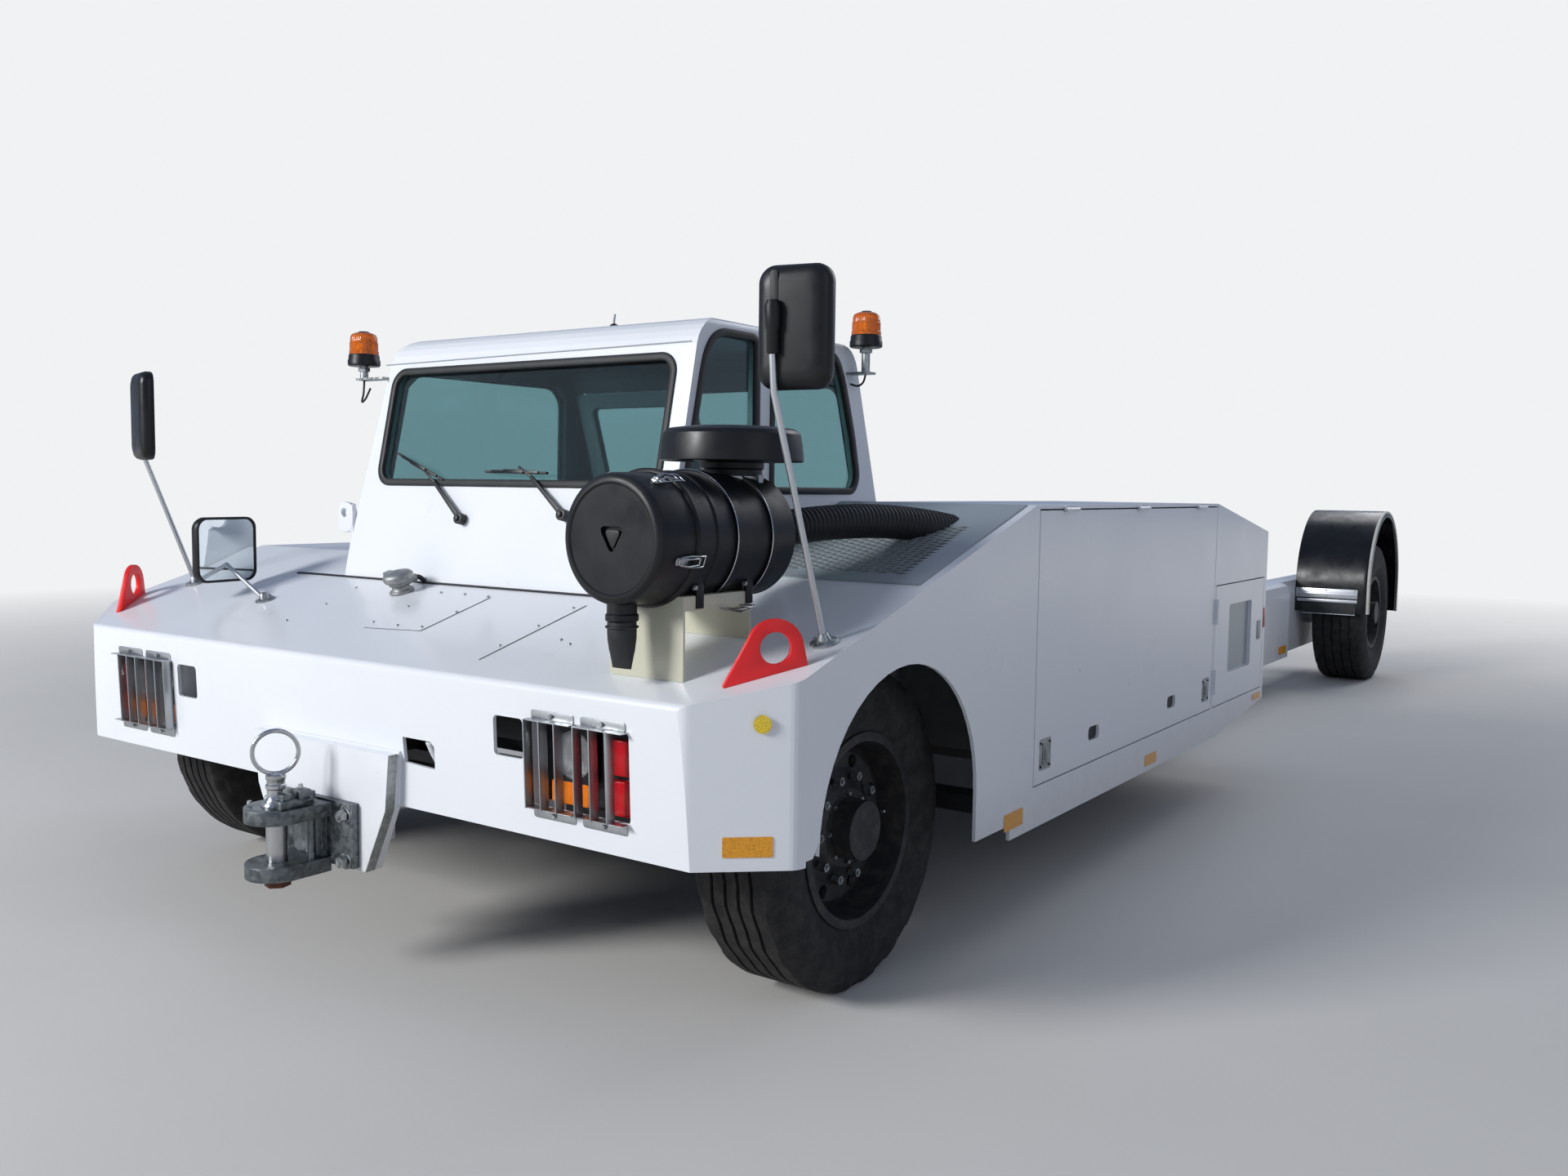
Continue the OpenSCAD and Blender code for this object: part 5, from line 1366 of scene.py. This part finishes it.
def make_door_trim():
    """Latches, the grip pockets with painted shade at their bottoms, and the window of the three side doors."""
    plates, handles, slot_shade, screws = Shape(), Shape(), Shape(), []
    door, left = on_side(1, DOOR_HALF), on_side(1)
    for x in LATCH_X:
        plates.prism(rounded(x - 48, LATCH_Z - 53, x + 48, LATCH_Z + 53, 9), 0.2, 3.5, door)
        handles.prism(rounded(x - 20, LATCH_Z - 36, x + 20, LATCH_Z + 36, 8), 3, 7, door)
        handles.prism(rounded(x - 9, LATCH_Z - 22, x + 9, LATCH_Z + 22, 7), 6, 11, door)
        screws += [door(x + u, LATCH_Z + v, 5) for u in (-37, 37) for v in (-42, 42)]
    # Dark plates at the bottoms of the grip pockets are painted shade of the recesses
    for x in GRIP_X:
        slot_shade.prism(rounded(x - 54, 579, x + 54, 631, 18), -19, -12, left)
    piece("grip_slot_shade", slot_shade, "seal_rubber", "engine_door")
    piece("latch_plates", plates, "galvanised", "engine_door", bevel_mm=0.8)
    piece("latch_handles", handles, "cast_alloy", "engine_door", bevel_mm=1.5)
    studs("latch_screws", screws, (0, 1, 0), 5, 4, "seal_rubber", body="engine_door", crown=0.7)
    window = Shape().prism(rounded(-3556, 644, -3164, 976, 18), -17.6, -16.6, left)
    piece("service_window", window, "grey_panel", "service_door")
    pull = Shape().prism(rounded(-3740, 760, -3680, 860, 9), 0.2, 4, left)
    piece("service_door_latch", pull, "galvanised", "service_door", bevel_mm=1)
    hatch = Shape().prism(rounded(-2920, 540, -2830, 600, 9), 0.2, 4, on_side(-1))
    piece("side_hatch_latch", hatch, "galvanised", "side_hatch", bevel_mm=1)


# Tow coupling

PLATE_X = 892
# name, distance before the bolt heads, radius, height, sides and crown
COUPLING_BOLTS = [("coupling_bolts", 0, 20, 17, 6, 0.95), ("coupling_washers", -8, 27, 4, 28, 0.95),
                  ("coupling_bolt_ends", 12, 10, 12, 12, 0.8)]
PIN_X = 1008
RING_R = 66
RING_Z = 704
RING_TURN = 147
SPLIT_RING = (PIN_X, 553)
LATCH_BLOCKS = [((896, -60, 539.3), (1000, 30, 551)), ((930, 40, 539.3), (1046, 78, 566)),
                ((944, 36, 560), (984, 84, 592)), ((1000, 46, 560), (1034, 72, 584)),
                ((900, 20, 549), (962, 44, 572))]
LATCH_BOLTS = [(964, 60, 597), (1017, 59, 590), (912, -44, 556), (1060, -60, 545)]
PIN_SHAFT = [(0.5, 304), (32, 304), (32, 539), (44, 539.6), (44, 544), (38, 552), (30, 562), (27, 570),
             (27, 590), (31, 594), (31, 604), (27, 608), (27, 618), (30, 622), (30, 634), (24, 640), (0.5, 641)]
PLATE_EDGE = [(226, 334), (324, 540), (342, 712), (343.5, 712), (325.5, 540), (227.5, 334)]


def make_coupling():
    softened("tow_jaws", 3, "worn_zinc")
    for name, off, radius, height, sides, crown in COUPLING_BOLTS:
        places = [at(PLATE_X + off, y, z) for y in (168, -168) for z in (509, 366)]
        studs(name, places, (1, 0, 0), radius, height, "galvanised", sides=sides, crown=crown)
    latch = Shape()
    for low, high in LATCH_BLOCKS:
        latch.box(low, high)
    piece("pin_latch", latch, "worn_zinc", bevel_mm=3)
    studs("pin_latch_bolts", [at(*p) for p in LATCH_BOLTS], (0, 0, 1), 9, 9, "galvanised", sides=6)


def make_tow_pin():
    pin = turned((PIN_X, 0, 0), (0, 0, 1))
    piece("tow_pin_shaft", Shape().lathe(PIN_SHAFT, pin, 64), "pin_steel", replaces=["tow_pin"])
    # The ring stands face on to the camera
    turn = math.radians(RING_TURN)
    ring = [at(PIN_X + u * math.cos(turn), u * math.sin(turn), z) for u, z in disc(0, RING_Z, RING_R, 64)]
    rods("tow_pin_ring", [ring], 7, "pin_steel", sides=18, closed=True)
    nut = [(40 * math.cos(a + 0.3), 40 * math.sin(a + 0.3)) for a in circle(6)]
    piece("tow_pin_nut", Shape().prism(nut, 288, 321, pin), "rusty_steel", bevel_mm=3)
    split = [at(x, -49, z) for x, z in disc(*SPLIT_RING, 9, 24, 10)]
    rods("split_ring", [split], 1.6, "pin_steel", sides=8, closed=True)


def make_plate_trim():
    """Welds and bare edges of the coupling plate, and the strut behind the bumper."""
    welds = [[on_front(side * y, z, 3) for y, z in ((342, 712), (335, 640), (326, 552))] for side in (1, -1)]
    welds.append([at(lean_x(712) + 3, y, 713) for y in range(-342, 343, 36)])
    rods("plate_welds", welds, 6, "white_paint")
    edges = Shape()
    for side in (1, -1):
        edges.prism(PLATE_EDGE, 824, 857, across(0, side))
    piece("plate_edges", edges, "galvanised")
    strut = bend([at(700, 440, 640), at(760, 452, 700), at(795, 456, 760)], 3)
    rods("bumper_strut", [strut], 14, "white_paint", sides=12)


# Rear fenders

FENDER_R = 620
FENDER_WALL = 8
FENDER_MID = 770
FENDER_OPEN = 578
FENDER_OUT = 1500
FENDER_IN = 945
TRIM_R = 618
TRIM_Y = 1490


def fender_station(angle, drop):
    """Placing function for one station round the wheel: first value the radius, second across."""
    c, s = math.cos(math.radians(angle)), math.sin(math.radians(angle))

    def place(radius, y):
        return at(REAR_WHEEL["x"] + radius * c, y, FENDER_MID + radius * s - drop)
    return place


def make_fenders():
    shells, trims, strips, flaps, screws = Shape(), [], Shape(), Shape(), []
    top = FENDER_R + FENDER_WALL
    section = [(top, FENDER_IN), (top, 1200), (top, 1452)]
    section += arc(594, 1466, 34, range(0, 91, 15))
    section += [(590, FENDER_OUT), (FENDER_OPEN, FENDER_OUT)]
    section += [(FENDER_OPEN, FENDER_OUT - 7), (592, FENDER_OUT - 8)]
    section += arc(592, 1464, 28, range(90, -1, -15))
    section += [(FENDER_R, 1200), (FENDER_R, FENDER_IN)]
    stations = [fender_station(0, 180), fender_station(0, 90)]
    stations += [fender_station(a, 0) for a in range(0, 181, 4)]
    stations += [fender_station(180, 120), fender_station(180, 240)]
    for side in (1, -1):
        shells.loft([[station(r, side * y) for r, y in section] for station in stations])
        trims.append([station(TRIM_R, side * TRIM_Y) for station in stations])
        face = across(REAR_WHEEL["x"] + top, side)
        strips.prism(rounded(952, 704, 1416, 778, 3), 0.2, 5, face)
        strips.prism(rounded(952, 728, 1416, 742, 1), 4, 9, face)
        strips.prism(rounded(962, 670, 1416, 694, 3), 4, 10, face)
        flaps.prism(rounded(1003, 574, 1404, 700, 4), 0.5, 5, face)
        strips.prism(rounded(1003, 574, 1404, 580, 1), 4.6, 7, face)
        screws += [face(y, z, 7) for y in (975, 1184, 1394) for z in (716, 766)]
    piece("fender_shells", shells, "fender_black", smooth=30, replaces=["fenders"])
    rods("fender_trim", trims, 12, "pale_trim")
    piece("fender_strips", strips, "bare_aluminium", bevel_mm=0.8)
    piece("fender_flaps", flaps, "hose_rubber")
    studs("fender_screws", screws, (1, 0, 0), 7, 4, "galvanised")


# Seat

SEAT = (-620, 250, 682)
SEAT_LEVELS = 8
CHANNEL_DEEP = 5
CHANNEL_HALF = 0.035


def cushion(name, low, high, place, crown, channels):
    """Crowned closed form: sides pull in between the corners, channels are sewn across the top."""
    half_u, half_v = (high[0] - low[0]) / 2, (high[1] - low[1]) / 2
    mid_u, mid_v = (high[0] + low[0]) / 2, (high[1] + low[1]) / 2
    height = high[2] - low[2] - crown
    made = []
    for level in range(SEAT_LEVELS + 1):
        t = level / SEAT_LEVELS
        swell = math.sin(math.pi * (0.12 + 0.76 * t))
        top = []
        for c, s in disc(0, 0, 1, 64):
            u = math.copysign(abs(c) ** 0.45, c)
            v = math.copysign(abs(s) ** 0.45, s)
            pull = 0.93 + 0.07 * swell - 0.02 * (1 - abs(u * v))
            top.append((u * pull, v * pull))
        made.append([place(mid_u + u * half_u, mid_v + v * half_v, low[2] + t * height) for u, v in top])
    for level in range(1, SEAT_LEVELS + 1):
        share = 1 - level / (SEAT_LEVELS + 0.5)
        ring = []
        for u, v in top:
            dip = CHANNEL_DEEP * sum(math.exp(-((v * share - c) / CHANNEL_HALF) ** 2) for c in channels)
            rise = crown * (1 - share ** 2.4) - dip
            ring.append(place(mid_u + u * share * half_u, mid_v + v * share * half_v, high[2] - crown + rise))
        made.append(ring)
    return piece(name, Shape().loft(made), "seat_cover", smooth=60)


def make_seat():
    stand = turned(SEAT, (0, 0, 1), (0, 1, 0))
    column = [(0.5, 0), (110, 0), (110, 20), (70, 34), (62, 60), (62, 190), (95, 205), (95, 236), (0.5, 236)]
    base = Shape().lathe(column, stand, 40)
    base.box((-842, 8, 912), (-378, 492, 924))
    piece("seat_base", base, "dash_plastic", replaces=["seat"])

    def flat(u, v, h):
        return at(SEAT[0] + u, SEAT[1] + v, SEAT[2] + h)

    def leaning(u, v, h):
        return flat(-176 - v * 0.135 - h * 0.99, u, 640 + v * 0.99 - h * 0.135)
    pad = cushion("seat_pad", (-228, -245, 242), (246, 245, 358), flat, 26, (-0.5, 0, 0.5))
    back = cushion("seat_back", (-236, -290, -40), (236, 286, 60), leaning, 20, (-0.6, -0.2, 0.2, 0.6))


for side, name in ((1, "left"), (-1, "right")):
    make_wheel(f"front_{name}", FRONT_WHEEL, side)
    make_wheel(f"rear_{name}", REAR_WHEEL, side)
make_lamps()
make_drum()
make_clips()
make_neck_and_valve()
make_straps()
make_hose()
make_mirrors()
make_beacons()
make_seals()
make_wipers()
make_cab_trim()
make_deck_trim()
make_reflectors()
make_door_trim()
make_coupling()
make_tow_pin()
make_plate_trim()
make_fenders()
make_seat()
softened("lugs", 5, "red_paint")
softened("filter_bracket", 2, "cream_paint")

make_camera()
make_floor()
make_surround()
make_lights()
